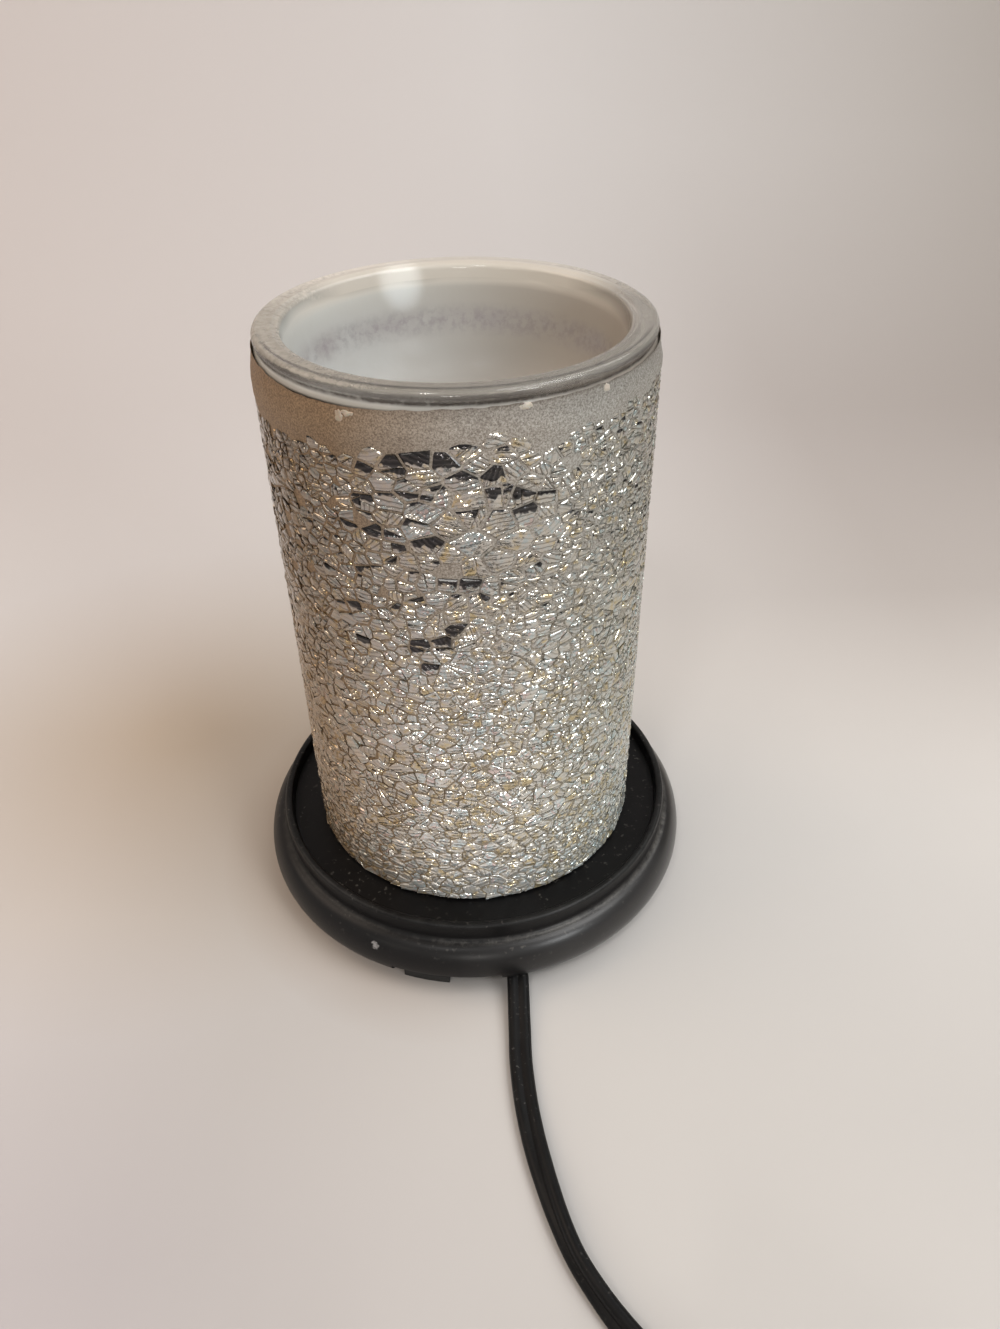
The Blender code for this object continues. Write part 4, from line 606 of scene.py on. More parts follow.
def layered(base, *layers, kind="MIX"):
    """Lays one colour after another over a base, each where its mask is."""
    for mask, colour in layers:
        base = blend(mask, base, colour, kind)
    return base


def toned(base, *layers):
    """Multiplies a base by one colour after another, each where its mask is."""
    return layered(base, *layers, kind="MULTIPLY")


def darker(colour, share):
    return tuple(value * share for value in colour)


def ramp(value, stops):
    """A colour that runs through (place, colour) stops."""
    node = add(value.tree, "ShaderNodeValToRGB", Fac=value)
    elements = node.color_ramp.elements
    while len(elements) < len(stops):
        elements.new(0.5)
    for element, (place, colour) in zip(elements, stops):
        element.position = place
        element.color = (*colour, 1.0)
    return Value(node.outputs[0])


def place_of(tree):
    return Value(add(tree, "ShaderNodeTexCoord").outputs["Object"])


def length(first, second):
    """The length of a step with two parts; of x and y, the distance from the upright axis."""
    return (first.maths("POWER", 2.0) + second.maths("POWER", 2.0)).maths("SQRT")


def finish_of(name):
    """A new material and the place in it."""
    made = bpy.data.materials.new(name)
    made.use_nodes = True
    return made, place_of(made.node_tree)


def finished(made, **inputs):
    """Gives a material's shader its inputs."""
    give(made.node_tree.nodes["Principled BSDF"], **inputs)
    return made


def new_group(name, build, outputs=("Mask",), **inputs):
    """A node group: build takes its tree and the values that come in, and returns those that go out."""
    group = bpy.data.node_groups.new(name, "ShaderNodeTree")
    for title, value in inputs.items():
        socket = group.interface.new_socket(title, in_out="INPUT", socket_type="NodeSocketFloat")
        socket.default_value = value
    for title in outputs:
        kind = "NodeSocketVector" if title == "Normal" else "NodeSocketFloat"
        group.interface.new_socket(title, in_out="OUTPUT", socket_type=kind)
    given = outputs_of(group.nodes.new("NodeGroupInput"))[:len(inputs)]
    fed(group.nodes.new("NodeGroupOutput"), build(place_of(group), *given))
    return group


def grain_parts(where, scale, depth, drift):
    """Fine moulded or cast grain: a normal and a slow variation from 0 to 1."""
    return where.noisy(scale, 2.0).bump(depth), where.noisy(drift).spread(0.3, 0.7)


def dust_mask(where, scale, amount):
    """Small pale specks, more of them on faces that look up."""
    facing = Value(add(where.tree, "ShaderNodeNewGeometry").outputs["Normal"])
    up = facing.parts()[2].spread(0.1, 0.9, 0.25, 1.0)
    area = where.noisy(45.0, 2.0).spread(0.4, 0.65)
    return [where.noisy(scale, 1.0).spread(0.66, 0.76) * area * up * amount]


def ring_mask(where, radius, height, width, broken):
    """A mask along a ring about the upright axis, broken up by noise: wear on a turned edge, or a painted dark
    refraction line along the dish's rim.
    """
    x, y, z = where.parts()
    near = (length(length(x, y) - radius, z - height) / width).spread(0.0, 1.0, 1.0, 0.0)
    ragged = where.noisy(420.0, 4.0, 0.7) * where.noisy(38.0, 2.0)
    return [near * ragged.spread(broken * 0.5, 0.36)]


GRAIN = new_group("grain", grain_parts, ("Normal", "Variation"), Scale=2500.0, Depth=0.00003, Drift=60.0)
DUST = new_group("dust", dust_mask, Scale=900.0, Amount=0.3)
RING = new_group("ring_wear_and_rim_lines", ring_mask, Radius=0.05, Height=0.01, Width=0.001, Broken=0.5)


def grouped(tree, group, **inputs):
    """A node group in use; what it puts out."""
    return outputs_of(add(tree, "ShaderNodeGroup", {"node_tree": group}, **inputs))


def grain(where, scale, depth, drift):
    """A grained normal and a slow variation; the depth is in millimetres."""
    return grouped(where.tree, GRAIN, Scale=scale, Depth=depth * MM, Drift=drift)


def dust(where, scale, amount):
    return grouped(where.tree, DUST, Scale=scale, Amount=amount)[0]


def ring(where, radius, height, width, broken):
    """A worn ring, or a painted refraction line on the dish's rim; its sizes are in millimetres."""
    sizes = {"Radius": radius * MM, "Height": height * MM, "Width": width * MM}
    return grouped(where.tree, RING, Broken=broken, **sizes)[0]


# Finishes


def black_moulding():
    """Satin black plastic, scuffed pale along its raised edges, with a little dust; the deck in the well is
    painted darker as painted shade, and the scuffs are painted weaker on the shaded left.
    """
    made, where = finish_of("black_moulding")
    normal, varied = grain(where, 2600.0, 0.03, 55.0)
    ridge = ring(where, radius=55.7, height=15.6, width=1.1, broken=0.35)
    lip = ring(where, radius=54.4, height=20.9, width=1.2, broken=0.25)
    low = ring(where, radius=59.6, height=6.6, width=1.6, broken=0.5)
    x, y, _ = where.parts()
    nose = length(x, y).over(54.2, 57.0)
    # The deck in the well is a darker black than the outer nose: partly painted shade in the recess, partly dust
    # and wear on the nose.
    deck = blend(varied, (0.0012, 0.0012, 0.0015), (0.0028, 0.0026, 0.0030))
    worn = blend(varied, (0.0045, 0.0042, 0.0046), (0.0085, 0.0078, 0.0079))
    speck = (where.away(SPECK_PLACE) + (where.noisy(1500.0) - 0.5) * (2.4 * MM)).over(0.5, 1.1, 0.8, 0.0)
    # Painted shade: the ridge's scuffs are painted weaker on the left, the shaded side.
    base = layered(
        blend(nose, deck, worn), (speck, (0.34, 0.33, 0.33)),
        (ridge * x.over(-22.0, 4.0, 0.2, 0.5), (0.19, 0.18, 0.165)), (lip * 0.16, (0.11, 0.11, 0.105)),
        (low * 0.3, (0.09, 0.085, 0.08)), (dust(where, 800.0, 0.35) * 0.6, (0.3, 0.28, 0.25)),
    )
    rough = varied.spread(0.0, 1.0, 0.36, 0.46).maths("ADD", ridge * 0.2, clamp=True)
    return finished(
        made, Base_Color=base, Roughness=rough, Normal=normal, Specular_IOR_Level=0.18,
        Coat_Weight=nose * x.over(-6.0, 22.0, 0.12, 0.85), Coat_Roughness=0.3,
    )


def grout():
    """Sandy silver-grey adhesive; its left side is painted browner and its right side greener and dimmer as
    painted light and shade, with painted shade under the dish's bead and on the collar's shoulder.
    """
    made, where = finish_of("grout")
    x, _, height = where.parts()
    sand = where.noisy(2600.0, 3.0, 0.7)
    lumps = where.noisy(420.0, 4.0, 0.6)
    side = x.over(-25.0, 2.0)
    stains = where.noisy(70.0).spread(0.35, 0.7, 0.0, 0.6)
    base = layered(
        blend(stains, (0.325, 0.29, 0.25), (0.265, 0.22, 0.18)),
        (sand.spread(0.45, 0.68, 0.0, 0.7), (0.66, 0.62, 0.56)),
        (sand.spread(0.47, 0.32, 0.0, 0.7), (0.14, 0.115, 0.09)),
    )
    # Painted shadow of the dish along the collar's top, under the bead.
    painted_dish_shadow = height.over(152.2, 152.7, 0.0, 0.8)
    # Painted shade on the collar's rounded shoulder.
    shoulder = blend(side, (0.92, 0.87, 0.82), (0.76, 0.76, 0.76))
    joints = blend(height.over(70.0, 118.0), (0.82, 0.77, 0.66), (1.0, 1.0, 1.0))
    # Painted shade and warm reflected light make the left side browner; the right side is painted cooler and
    # dimmer.
    base = toned(
        blend(side, toned(base, (1.0, (0.64, 0.475, 0.315))), base), (x.over(8.0, 24.0), (0.90, 0.95, 0.98)),
        (painted_dish_shadow, (0.62, 0.58, 0.54)), (height.over(146.5, 151.0), shoulder), (1.0, joints),
    )
    spark = sand.spread(0.62, 0.7)
    normal = lumps.bump(0.32 * MM, 0.8, sand.bump(0.10 * MM, 0.7))
    return finished(
        made, Base_Color=base, Roughness=spark.spread(0.0, 1.0, 0.6, 0.25), Normal=normal,
        Metallic=spark.spread(0.0, 1.0, 0.05, 0.6),
    )


def mirror_chip():
    """Silvered glass crumbs, cream to silver, with painted coloured glints: fine level ribs with painted shade
    in their creases, a painted dark reflection of the room on some chips' upper part, and painted shade by side
    and height.
    """
    made, where = finish_of("mirror_chip")
    tree = where.tree
    flat = Value(add(tree, "ShaderNodeUVMap", {"uv_map": "chip_map"}).outputs[0])
    facts = add(tree, "ShaderNodeAttribute", {"attribute_name": "chip_facts"}).outputs
    tint, dark, ribbed = outputs_of(add(tree, "ShaderNodeSeparateColor", Color=Value(facts["Color"])))
    x, _, height = where.parts()
    ribs = Value(add(
        tree, "ShaderNodeTexWave", {"wave_type": "BANDS", "bands_direction": "X"}, Vector=flat,
        Scale=0.36, Distortion=5.0, Detail=2.0, Detail_Scale=0.6, Detail_Roughness=0.55,
    ).outputs[1])
    waves = flat.noisy(0.6, 2.0)
    glint = flat.noisy(1.3, 2.0)
    low_zone = height.over(118, 74)
    base = ramp(waves + (tint - 0.5) * low_zone.spread(0.0, 1.0, 0.2, 0.32), CHIP_TINTS_AND_GLINTS)
    base = toned(base, (low_zone * 0.9, tint.spread(-0.3, 1.1, 0.62, 1.05)))
    # Painted shade in the ribs' creases, a little weaker low down.
    painted_crease_shade = ribs.spread(0.0, 0.3, 0.85, 0.0) * ribbed * low_zone.spread(0.0, 1.0, 1.0, 0.7)
    # Painted reflection: a dark upper part on some chips stands for the dark room they mirror.
    level = Value(facts["Alpha"]) + (waves - 0.5) * 0.8 + dark
    painted_dark_reflection = level.spread(0.98, 1.05, 0.0, 0.96) * dark.spread(0.0, 0.05)
    inside = blend(ribs.spread(0.55, 1.0, 0.0, 0.6), (0.010, 0.008, 0.012), (0.11, 0.10, 0.105))
    # Painted light and shade by side: the left side browner and darker, the right side darker and greener, and
    # the upper chips darker, most at the front middle.
    left = x.over(*SHADED_LEFT_SIDE)
    brown = blend(low_zone, (0.325, 0.262, 0.197), (0.46, 0.37, 0.28))
    right = x.over(4, 34)
    upper = blend(left.most(right), (0.60, 0.585, 0.57), (0.765, 0.75, 0.735))
    base = toned(
        layered(base, (painted_crease_shade, (0.24, 0.205, 0.16)), (painted_dark_reflection, inside)),
        (left, brown), (right, (0.71, 0.745, 0.73)), (height.over(64, 118), upper),
    )
    normal = (ribs * ribbed).bump(0.10 * MM)
    normal = waves.bump(low_zone.spread(0.0, 1.0, 0.35 * MM, 0.5 * MM), under=normal)
    return finished(
        made, Base_Color=base, Metallic=height.over(20, 60, 0.45, 0.94), Coat_Weight=0.6, Coat_Roughness=0.04,
        Normal=glint.bump(0.10 * MM, under=normal), Roughness=glint.spread(0.35, 0.7, 0.05, 0.17),
    )


def hazy_glass(name, tint, haze, clear=1.0, passed=0.0):
    """Clear glass with faint smears; it lets a share of the light straight through."""
    made, where = finish_of(name)
    smear = where.noisy(60.0, 4.0, 0.6)
    fine = where.noisy(900.0, 2.0).spread(0.5, 0.8, 0.0, haze / 3)
    if passed:
        shadow_ray = Value(add(where.tree, "ShaderNodeLightPath").outputs["Is Shadow Ray"])
        finished(made, Alpha=shadow_ray * -passed + 1.0)
    return finished(
        made, Base_Color=blend(smear.spread(0.3, 0.8), tint, darker(tint, 0.93)),
        Roughness=smear.spread(0.42, 0.75, 0.01, haze) + fine, Normal=smear.bump(0.12 * MM, 0.35),
        Transmission_Weight=clear, IOR=GLASS_IOR,
    )


def wax_film():
    """A dull film of old wax that thins out up the bowl's side, darker at its tide line, with painted light and
    shade: lighter on the left and at the back, darker on the right and under the flange, and painted dark
    refraction lines along the front rim.
    """
    made, where = finish_of("wax_film")
    x, y, height = where.parts()
    radius = length(x, y)
    cloud = where.noisy(90.0, 4.0, 0.6)
    crumbs = where.noisy(520.0, 3.0, 0.7)
    side = x.over(-34.0, 34.0)
    tide = height.over(138.5, 142.5) * height.over(143.5, 147.0, 1.0, 0.0)
    # Painted light and shade: the film and the bowl's wall are lighter on the left and darker on the right.
    wall = blend(side, (0.62, 0.625, 0.59), (0.40, 0.35, 0.30))
    # Painted light: the flange's top is lighter at the back than at the front.
    painted_lit_brim = blend(y.over(0.0, 30.0), (0.60, 0.55, 0.47), (0.80, 0.745, 0.67))
    # Painted light: a pale band on the back of the inner lip.
    lip = height.over(150.6, 152.6) * y.over(0.0, 26.0) * radius.over(40.6, 40.0)
    # Painted shade: the lower bead under the flange is darker, most on the left.
    painted_bead_shade = height.over(152.7, 152.2) * radius.over(40.4, 40.9) * x.over(-22, 4, 0.75, 0.25)
    base = layered(
        blend(side, (0.50, 0.51, 0.50), (0.37, 0.325, 0.275)),
        (cloud.spread(0.35, 0.7, 0.0, 0.4), (0.42, 0.39, 0.355)),
        (tide * cloud.spread(0.35, 0.65, 0.1, 0.7), (0.34, 0.315, 0.32)),
        (tide * crumbs.spread(0.44, 0.62) * 0.35, (0.20, 0.175, 0.19)),
        (height.over(145.0, 151.0, 0.0, 0.9), wall), (height.over(154.4, 155.2), painted_lit_brim),
        (lip, (0.68, 0.63, 0.555)), (painted_bead_shade, (0.36, 0.33, 0.285)),
    )
    edge = height + (where.noisy(35.0, 2.0) - 0.5) * (6.0 * MM)
    inside = edge.over(152.0, 156.5, 0.96, 0.2) * height.over(155.2, 155.6, 1.0, 0.0)
    back = y.over(4.0, 34.0, 0.0, 0.45)
    flange = x.over(-40.0, 0.0, 0.6, 0.3).maths("ADD", back, clamp=True)
    flange = flange * crumbs.spread(0.3, 0.6, 0.66, 1.0).most(back * 2.1)
    cover = inside.most(flange).most(lip * 0.86).most(painted_bead_shade)
    # Painted dark refraction lines along the front rim, where the glass's beads show dark.
    front = y.over(-6.0, -24.0)
    for *line, strength in RIM_REFRACTION_LINES:
        mask = ring(where, *line, broken=0.1) * front * strength
        base = blend(mask.spread(0.0, 0.35), base, (0.085, 0.07, 0.06))
        cover = cover.most(mask)
    calm = cloud * y.over(-10.0, 16.0, 1.0, 0.25)
    return finished(
        made, Base_Color=base, Roughness=cloud.spread(0.3, 0.75, 0.42, 0.6), Alpha=cover,
        Normal=calm.bump(0.25 * MM, 0.6, crumbs.bump(0.05 * MM, 0.5)),
        Coat_Weight=height.over(146.0, 155.0, 0.04, 0.7), Coat_Roughness=0.06,
    )


def wax():
    """Lumps of old wax, painted browner and darker on the shade's left side as painted shade."""
    made, where = finish_of("wax")
    cloud = where.noisy(500.0)
    base = blend(cloud.spread(0.3, 0.7), (0.57, 0.53, 0.46), (0.43, 0.39, 0.325))
    # Painted shade: wax on the shade's left side is toned browner and darker.
    return finished(
        made, Base_Color=toned(base, (where.parts()[0].over(*SHADED_LEFT_SIDE), (0.74, 0.58, 0.42))),
        Roughness=cloud.spread(0.3, 0.7, 0.35, 0.55), Normal=cloud.bump(0.15 * MM, 0.8),
        Subsurface_Weight=0.2, Subsurface_Scale=0.5 * MM,
    )


def metal(name, colour, low, high, stretch):
    """Bare metal with drawn or spun lines."""
    made, where = finish_of(name)
    drawn_out = Value(add(where.tree, "ShaderNodeMapping", Vector=where, Scale=stretch).outputs[0])
    lines = drawn_out.noisy(900.0, 3.0, 0.6)
    base = blend(where.noisy(80.0).spread(0.3, 0.7), colour, darker(colour, 0.82))
    return finished(
        made, Base_Color=base, Metallic=1.0, Roughness=lines.spread(0.3, 0.7, low, high),
        Normal=lines.bump(0.03 * MM, 0.5),
    )


def glaze():
    """Cream ceramic glaze with brown specks."""
    made, where = finish_of("ceramic_glaze")
    normal, varied = grain(where, 1500.0, 0.05, 120.0)
    specks = where.noisy(1300.0, 1.0).spread(0.7, 0.78) * 0.6
    base = blend(varied, (0.74, 0.71, 0.64), (0.66, 0.63, 0.56))
    return finished(
        made, Base_Color=blend(specks, base, (0.3, 0.24, 0.17)), Normal=normal,
        Roughness=varied.spread(0.0, 1.0, 0.25, 0.45), Coat_Weight=0.3, Coat_Roughness=0.1,
    )


def soft_plastic(name, dark, light, low, high, gloss=0.5, grained=(2200.0, 0.04, 140.0),
                 dusty=(1100.0, 0.5), dust_share=0.4, dust_colour=(0.32, 0.3, 0.28)):
    """Plastic or rubber with a fine grain and a little dust."""
    made, where = finish_of(name)
    normal, varied = grain(where, *grained)
    base = blend(dust(where, *dusty) * dust_share, blend(varied, dark, light), dust_colour)
    return finished(
        made, Base_Color=base, Roughness=varied.spread(0.0, 1.0, low, high), Normal=normal,
        Specular_IOR_Level=gloss,
    )


# Shade


def chip_noise(around, height, scale, seed):
    """Smooth noise on the shade, which joins up behind it."""
    place = polar(SHADE_RADIUS, around, height)
    return noise.noise(place * scale + Vector((seed, seed * 1.7, -seed)))


def chip_size(around, height):
    """How far apart the chips' middles lie: wide at the upper front, fine at the sides."""
    front = math.exp(-(((around + 88.0) / 27.0) ** 2) - ((height - 134 * MM) / (17 * MM)) ** 2)
    left = eased((-120.0 - around) / 22.0) * eased((200.0 + around) / 40.0)
    right = eased((around + 76.0) / 26.0) * eased((30.0 - around) / 40.0)
    patch = eased(0.5 + 1.6 * chip_noise(around, height, 55.0, 3.0))
    low, high = CHIP_SPACING
    return low + (high - low) * min(1.0, 0.33 + 0.32 * patch + 0.55 * front - 0.14 * left - 0.3 * right)


def chip_top(around):
    """Where the chips end under the collar of bare grout."""
    for (first, low), (second, high) in zip(CHIP_TOPS, CHIP_TOPS[1:]):
        if around <= second:
            level = low + (high - low) * (around - first) / (second - first)
            return (level + 1.1 * chip_noise(around, 0.1, 190.0, 9.0)) * MM
    return CHIP_TOPS[-1][1] * MM


def along_to_degrees(along):
    return along / SHADE_GIRTH * 360.0 - 180.0


def grid_cell(place):
    return int(place.real / SHADE_GIRTH * CHIP_COLUMNS), int(place.imag / CHIP_CELL)


def steps_to_others(place, taken, reach):
    """The steps from a place to the chip middles in the grid cells round it."""
    column, row = grid_cell(place)
    for across in range(-reach, reach + 1):
        for up in range(-reach, reach + 1):
            for other in taken.get(((column + across) % CHIP_COLUMNS, row + up), ()):
                step = other - place
                yield step - SHADE_GIRTH * round(step.real / SHADE_GIRTH)


def scattered(draw):
    """Chip middles, none closer than its size, in order and by grid cell; their heights are squashed."""
    taken = {}
    middles = []
    for _ in range(CHIP_TRIES):
        along = draw.uniform(0.0, SHADE_GIRTH)
        height = draw.uniform(CHIP_LOW, CHIP_HIGH)
        size = chip_size(along_to_degrees(along), height)
        if draw.random() < CHIP_SMALL:
            size *= CHIP_SMALLER_BY
        place = complex(along, height * CHIP_SQUASH)
        if all(abs(step) >= size for step in steps_to_others(place, taken, 4)):
            taken.setdefault(grid_cell(place), []).append(place)
            middles.append(place)
    return middles, taken


def sides_of(outline):
    return zip(outline, outline[1:] + outline[:1])


def dot(first, second):
    """How far one step reaches along another."""
    return (first * second.conjugate()).real


def clipped(outline, point, direction):
    """The part of a convex outline behind a line."""
    kept = []
    for first, second in sides_of(outline):
        here, there = dot(first - point, direction), dot(second - point, direction)
        if here <= 0.0:
            kept.append(first)
        if (here < 0.0 < there) or (there < 0.0 < here):
            kept.append(first + (second - first) * (here / (here - there)))
    return kept


def cell_of(middle, taken, gap):
    """The outline round one chip's middle, drawn in by half the joint."""
    reach = 1.3 * CHIP_SPACING[1]
    outline = [complex(x, y) for x, y in ((-reach, -reach), (reach, -reach), (reach, reach), (-reach, reach))]
    for step in sorted(steps_to_others(middle, taken, 7), key=abs)[1:]:
        distance = abs(step)
        if distance / 2 > max(map(abs, outline)):
            break
        direction = step / distance
        outline = clipped(outline, direction * (distance / 2 - gap), direction)
        if len(outline) < 3:
            return []
    return outline


def trimmed(outline):
    """Drops points that lie too close to the one before."""
    kept = []
    for point in outline:
        if not kept or abs(point - kept[-1]) > CHIP_LEAST_SIDE:
            kept.append(point)
    while len(kept) > 2 and abs(kept[0] - kept[-1]) <= CHIP_LEAST_SIDE:
        kept.pop()
    return kept


def middle_of(outline):
    return sum(outline) / len(outline)


def area_of(outline):
    return sum((first.conjugate() * second).imag for first, second in sides_of(outline)) / 2


def cracked(outline, draw, chance):
    """Splits a chip along a random line, sometimes more than once."""
    if draw.random() > chance or len(outline) < 4:
        return [outline]
    direction = cmath.rect(1.0, draw.uniform(0.0, math.tau))
    point = middle_of(outline) + direction * (draw.uniform(-0.5, 0.5) * MM)
    crack = direction * CHIP_CRACK
    pieces = []
    for half in (clipped(outline, point - crack, direction), clipped(outline, point + crack, -direction)):
        half = trimmed(half)
        if len(half) >= 3 and area_of(half) > CHIP_LEAST_AREA:
            pieces += cracked(half, draw, chance * CHIP_CRACKED_AGAIN)
    return pieces


def make_chips():
    """Every chip is a small slab with a bevelled rim and a tilted top, set into the grout.

    Outlines and places on the girth are complex numbers: along it and up.
    """
    draw = random.Random(CHIP_SEED)
    middles, taken = scattered(draw)
    lists = [], [], [], [], [], []
    for middle in middles:
        around = along_to_degrees(middle.real)
        height = middle.imag / CHIP_SQUASH
        if height > chip_top(around) - 0.8 * MM:
            continue
        upper = eased((height - 84 * MM) / (40 * MM))
        facing = max(math.cos(math.radians(around + 90.0)), 0.3)
        gap = CHIP_GROUT * (0.6 + upper * draw.uniform(0.1, 1.0)) * facing
        outline = [complex(point.real, point.imag / CHIP_SQUASH) for point in cell_of(middle, taken, gap)]
        outline = clipped(outline, complex(0.0, chip_top(around) + 0.2 * MM - height), 1j)
        outline = trimmed(clipped(outline, complex(0.0, CHIP_LOW - 0.3 * MM - height), -1j))
        if len(outline) < 3:
            continue
        front = math.exp(-(((around + 96.0) / 17.0) ** 2))
        top_rows = eased((height - 126 * MM) / (12 * MM))
        # How often a chip gets a painted dark reflection of the room on its upper part: most at the upper front.
        dark_reflection_share = front * eased((height - 90 * MM) / (14 * MM)) * (0.22 + 0.42 * top_rows)
        tint = draw.random()
        for shape in cracked(outline, draw, CHIP_CRACKED):
            if draw.random() < CHIP_MISSING * upper:
                continue
            # dark is the share of a chip's upper part that is painted as a dark reflection.
            dark = draw.choice((0.0, 0.0, 0.0, 0.2 * upper))
            if draw.random() < dark_reflection_share:
                dark = draw.uniform(0.36, 0.72)
            ribbed = draw.choice((0.4, 0.8, 1.0, 1.0)) * (0.9 + 0.1 * upper)
            add_chip(shape, complex(middle.real, height), draw, (tint, dark, ribbed), lists)
    points, faces, smooth, flat_places, facts, shades = lists
    piece = meshed("mosaic_chips", points, faces)
    mesh = piece.data
    mesh.polygons.foreach_set("use_smooth", smooth)
    layer = mesh.uv_layers.new(name="chip_map")
    layer.uv.foreach_set("vector", [value for face in faces for point in face for value in flat_places[point]])
    colours = mesh.color_attributes.new("chip_facts", "FLOAT_COLOR", "CORNER")
    values = []
    for face, shade in zip(faces, shades):
        for point in face:
            values += (facts[point][0] + shade, *facts[point][1:])
    colours.data.foreach_set("color", values)
    return piece


def add_chip(outline, place, draw, fact, lists):
    """Adds one chip's points, faces, smoothing, places on its flat map, facts and shades to the lists."""
    points, faces, smooth, flat_places, facts, shades = lists
    middle = middle_of(outline)
    size = math.sqrt(max(area_of(outline), CHIP_LEAST_AREA))
    lean = math.tan(math.radians(CHIP_TILT))
    slope = complex(draw.uniform(-lean, lean), draw.uniform(-lean, lean))
    level = CHIP_FACE + draw.uniform(-0.08, 0.08) * MM
    faceted = draw.random() < CHIP_FACETED
    dome = draw.choice((0.04, 0.07, 0.1, -0.05) if faceted else (0.0, 0.04, 0.08)) * size
    aside = size * 0.24 if faceted else 0.0
    peak = middle + complex(draw.uniform(-aside, aside), draw.uniform(-aside, aside))
    inset = 1.0 - min(0.5, CHIP_EDGE / (0.5 * size))
    stretch, turn = rib_lie(along_to_degrees(place.real), draw)
    shift = complex(draw.uniform(0.0, CHIP_MAP_SPREAD), draw.uniform(0.0, CHIP_MAP_SPREAD))
    half = max(abs((point - middle).imag) for point in outline)

    def add_point(point, radius):
        there = place + point
        points.append(polar(min(radius, CHIP_LIMIT), along_to_degrees(there.real), there.imag))
        flat = point * stretch * cmath.rect(1.0, turn) / MM + shift
        flat_places.append((flat.real, flat.imag))
        facts.append((*fact, 0.5 + 0.5 * (point - middle).imag / half))

    start = len(points)
    count = len(outline)
    for share, drop in ((1.0, None), (1.0, -CHIP_RIM), (inset, 0.0)):
        for point in outline:
            step = (point - middle) * share
            radius = CHIP_ROOT
            if drop is not None:
                radius = max(level + drop + dot(step, slope), CHIP_ROOT + 0.1 * MM)
            add_point(middle + step, radius / math.cos(step.real / SHADE_RADIUS))
    add_point(peak, level + dome)
    faces += ring_faces(start, count) + ring_faces(start + count, count)
    smooth += [False] * (2 * count)
    shades += [0.0] * (2 * count)
    for side in range(count):
        faces.append((start + 2 * count + side, start + 2 * count + (side + 1) % count, start + 3 * count))
        smooth.append(not faceted)
        shades.append(draw.uniform(-0.6, 0.6) if faceted else 0.0)


def rib_lie(around, draw):
    """How wide a chip's ribs are and how they lie: most run level, and they widen towards the sides."""
    stretch = 0.58 + 0.26 * max(math.cos(math.radians(around + 90.0)), 0.0)
    turn = math.radians(90.0 + draw.gauss(0.0, 16.0))
    if draw.random() < 0.2:
        turn = draw.uniform(0.0, math.tau)
    return stretch, turn


def collar_slope(height):
    """How far the collar's shoulder draws in at a height."""
    return eased((height - COLLAR_SHOULDER) / (COLLAR_TOP - COLLAR_SHOULDER)) * COLLAR_ROUND


def make_grout():
    """The grout under the chips, with a collar over them that reaches up past the dish's lower bead."""
    outline = [(GROUT_INNER, GROUT_TOP), (GROUT_INNER, GROUT_BOTTOM), (GROUT_FACE - 0.3 * MM, GROUT_BOTTOM)]
    high = COLLAR_TOP - 0.6 * MM
    for step in range(GROUT_STEPS + 1):
        height = GROUT_BOTTOM + 0.3 * MM + (high - 0.3 * MM - GROUT_BOTTOM) * step / GROUT_STEPS
        outline.append((GROUT_FACE, height))
    outline += [
        (GROUT_FACE - 0.06 * MM, COLLAR_TOP - 0.25 * MM), (GROUT_FACE - 0.24 * MM, COLLAR_TOP - 0.04 * MM),
        (COLLAR_INNER + 0.06 * MM, COLLAR_TOP - 0.1 * MM), (COLLAR_INNER, GROUT_TOP + 0.5 * MM),
    ]
    piece = turned("mosaic_grout", outline, steps=240)
    for point in piece.data.vertices:
        around = math.degrees(math.atan2(point.co.y, point.co.x))
        radius = math.hypot(point.co.x, point.co.y)
        if radius > GROUT_FACE - 0.28 * MM:
            swell = eased((point.co.z - chip_top(around) + 1.2 * MM) / (2.2 * MM)) * GROUT_COLLAR
            lump = noise.noise(point.co * 260.0) * 0.10 * MM + noise.noise(point.co * 700.0) * 0.05 * MM
            goal = min(radius + swell + lump, GROUT_LIMIT)
            goal = max(goal - collar_slope(point.co.z), COLLAR_INNER + 0.16 * MM)
            point.co.x *= goal / radius
            point.co.y *= goal / radius
        if point.co.z > GROUT_TOP:
            dip = 0.5 * math.exp(-(((around + 128.0) / 27.0) ** 2))
            worn = 0.06 + 0.16 * noise.noise(polar(SHADE_RADIUS, around) * 330.0)
            point.co.z = GROUT_TOP + (point.co.z - GROUT_TOP) * (1.0 - min(max(dip + worn, 0.0), 0.95))
    return piece


def make_fleck(name, around, height, size, seed):
    """A lump of old wax on the collar; its size is (along, out, up)."""
    bpy.ops.mesh.primitive_ico_sphere_add(subdivisions=4, radius=1.0)
    piece = named(name)
    piece.scale = (size[1], size[0], size[2])
    settle(piece)
    for point in piece.data.vertices:
        lump = noise.noise(point.co * 900.0 + Vector((seed, 0, 0)))
        point.co *= 1.0 + 0.55 * lump + 0.25 * noise.noise(point.co * 2600.0)
    piece.location = polar(FLECK_RADIUS - collar_slope(height), around, height)
    piece.rotation_euler = (0.0, 0.0, math.radians(around))
    settle(piece)
    tidy_mesh(piece, FLECK_SHARP)
    return piece


# Turned glass and base


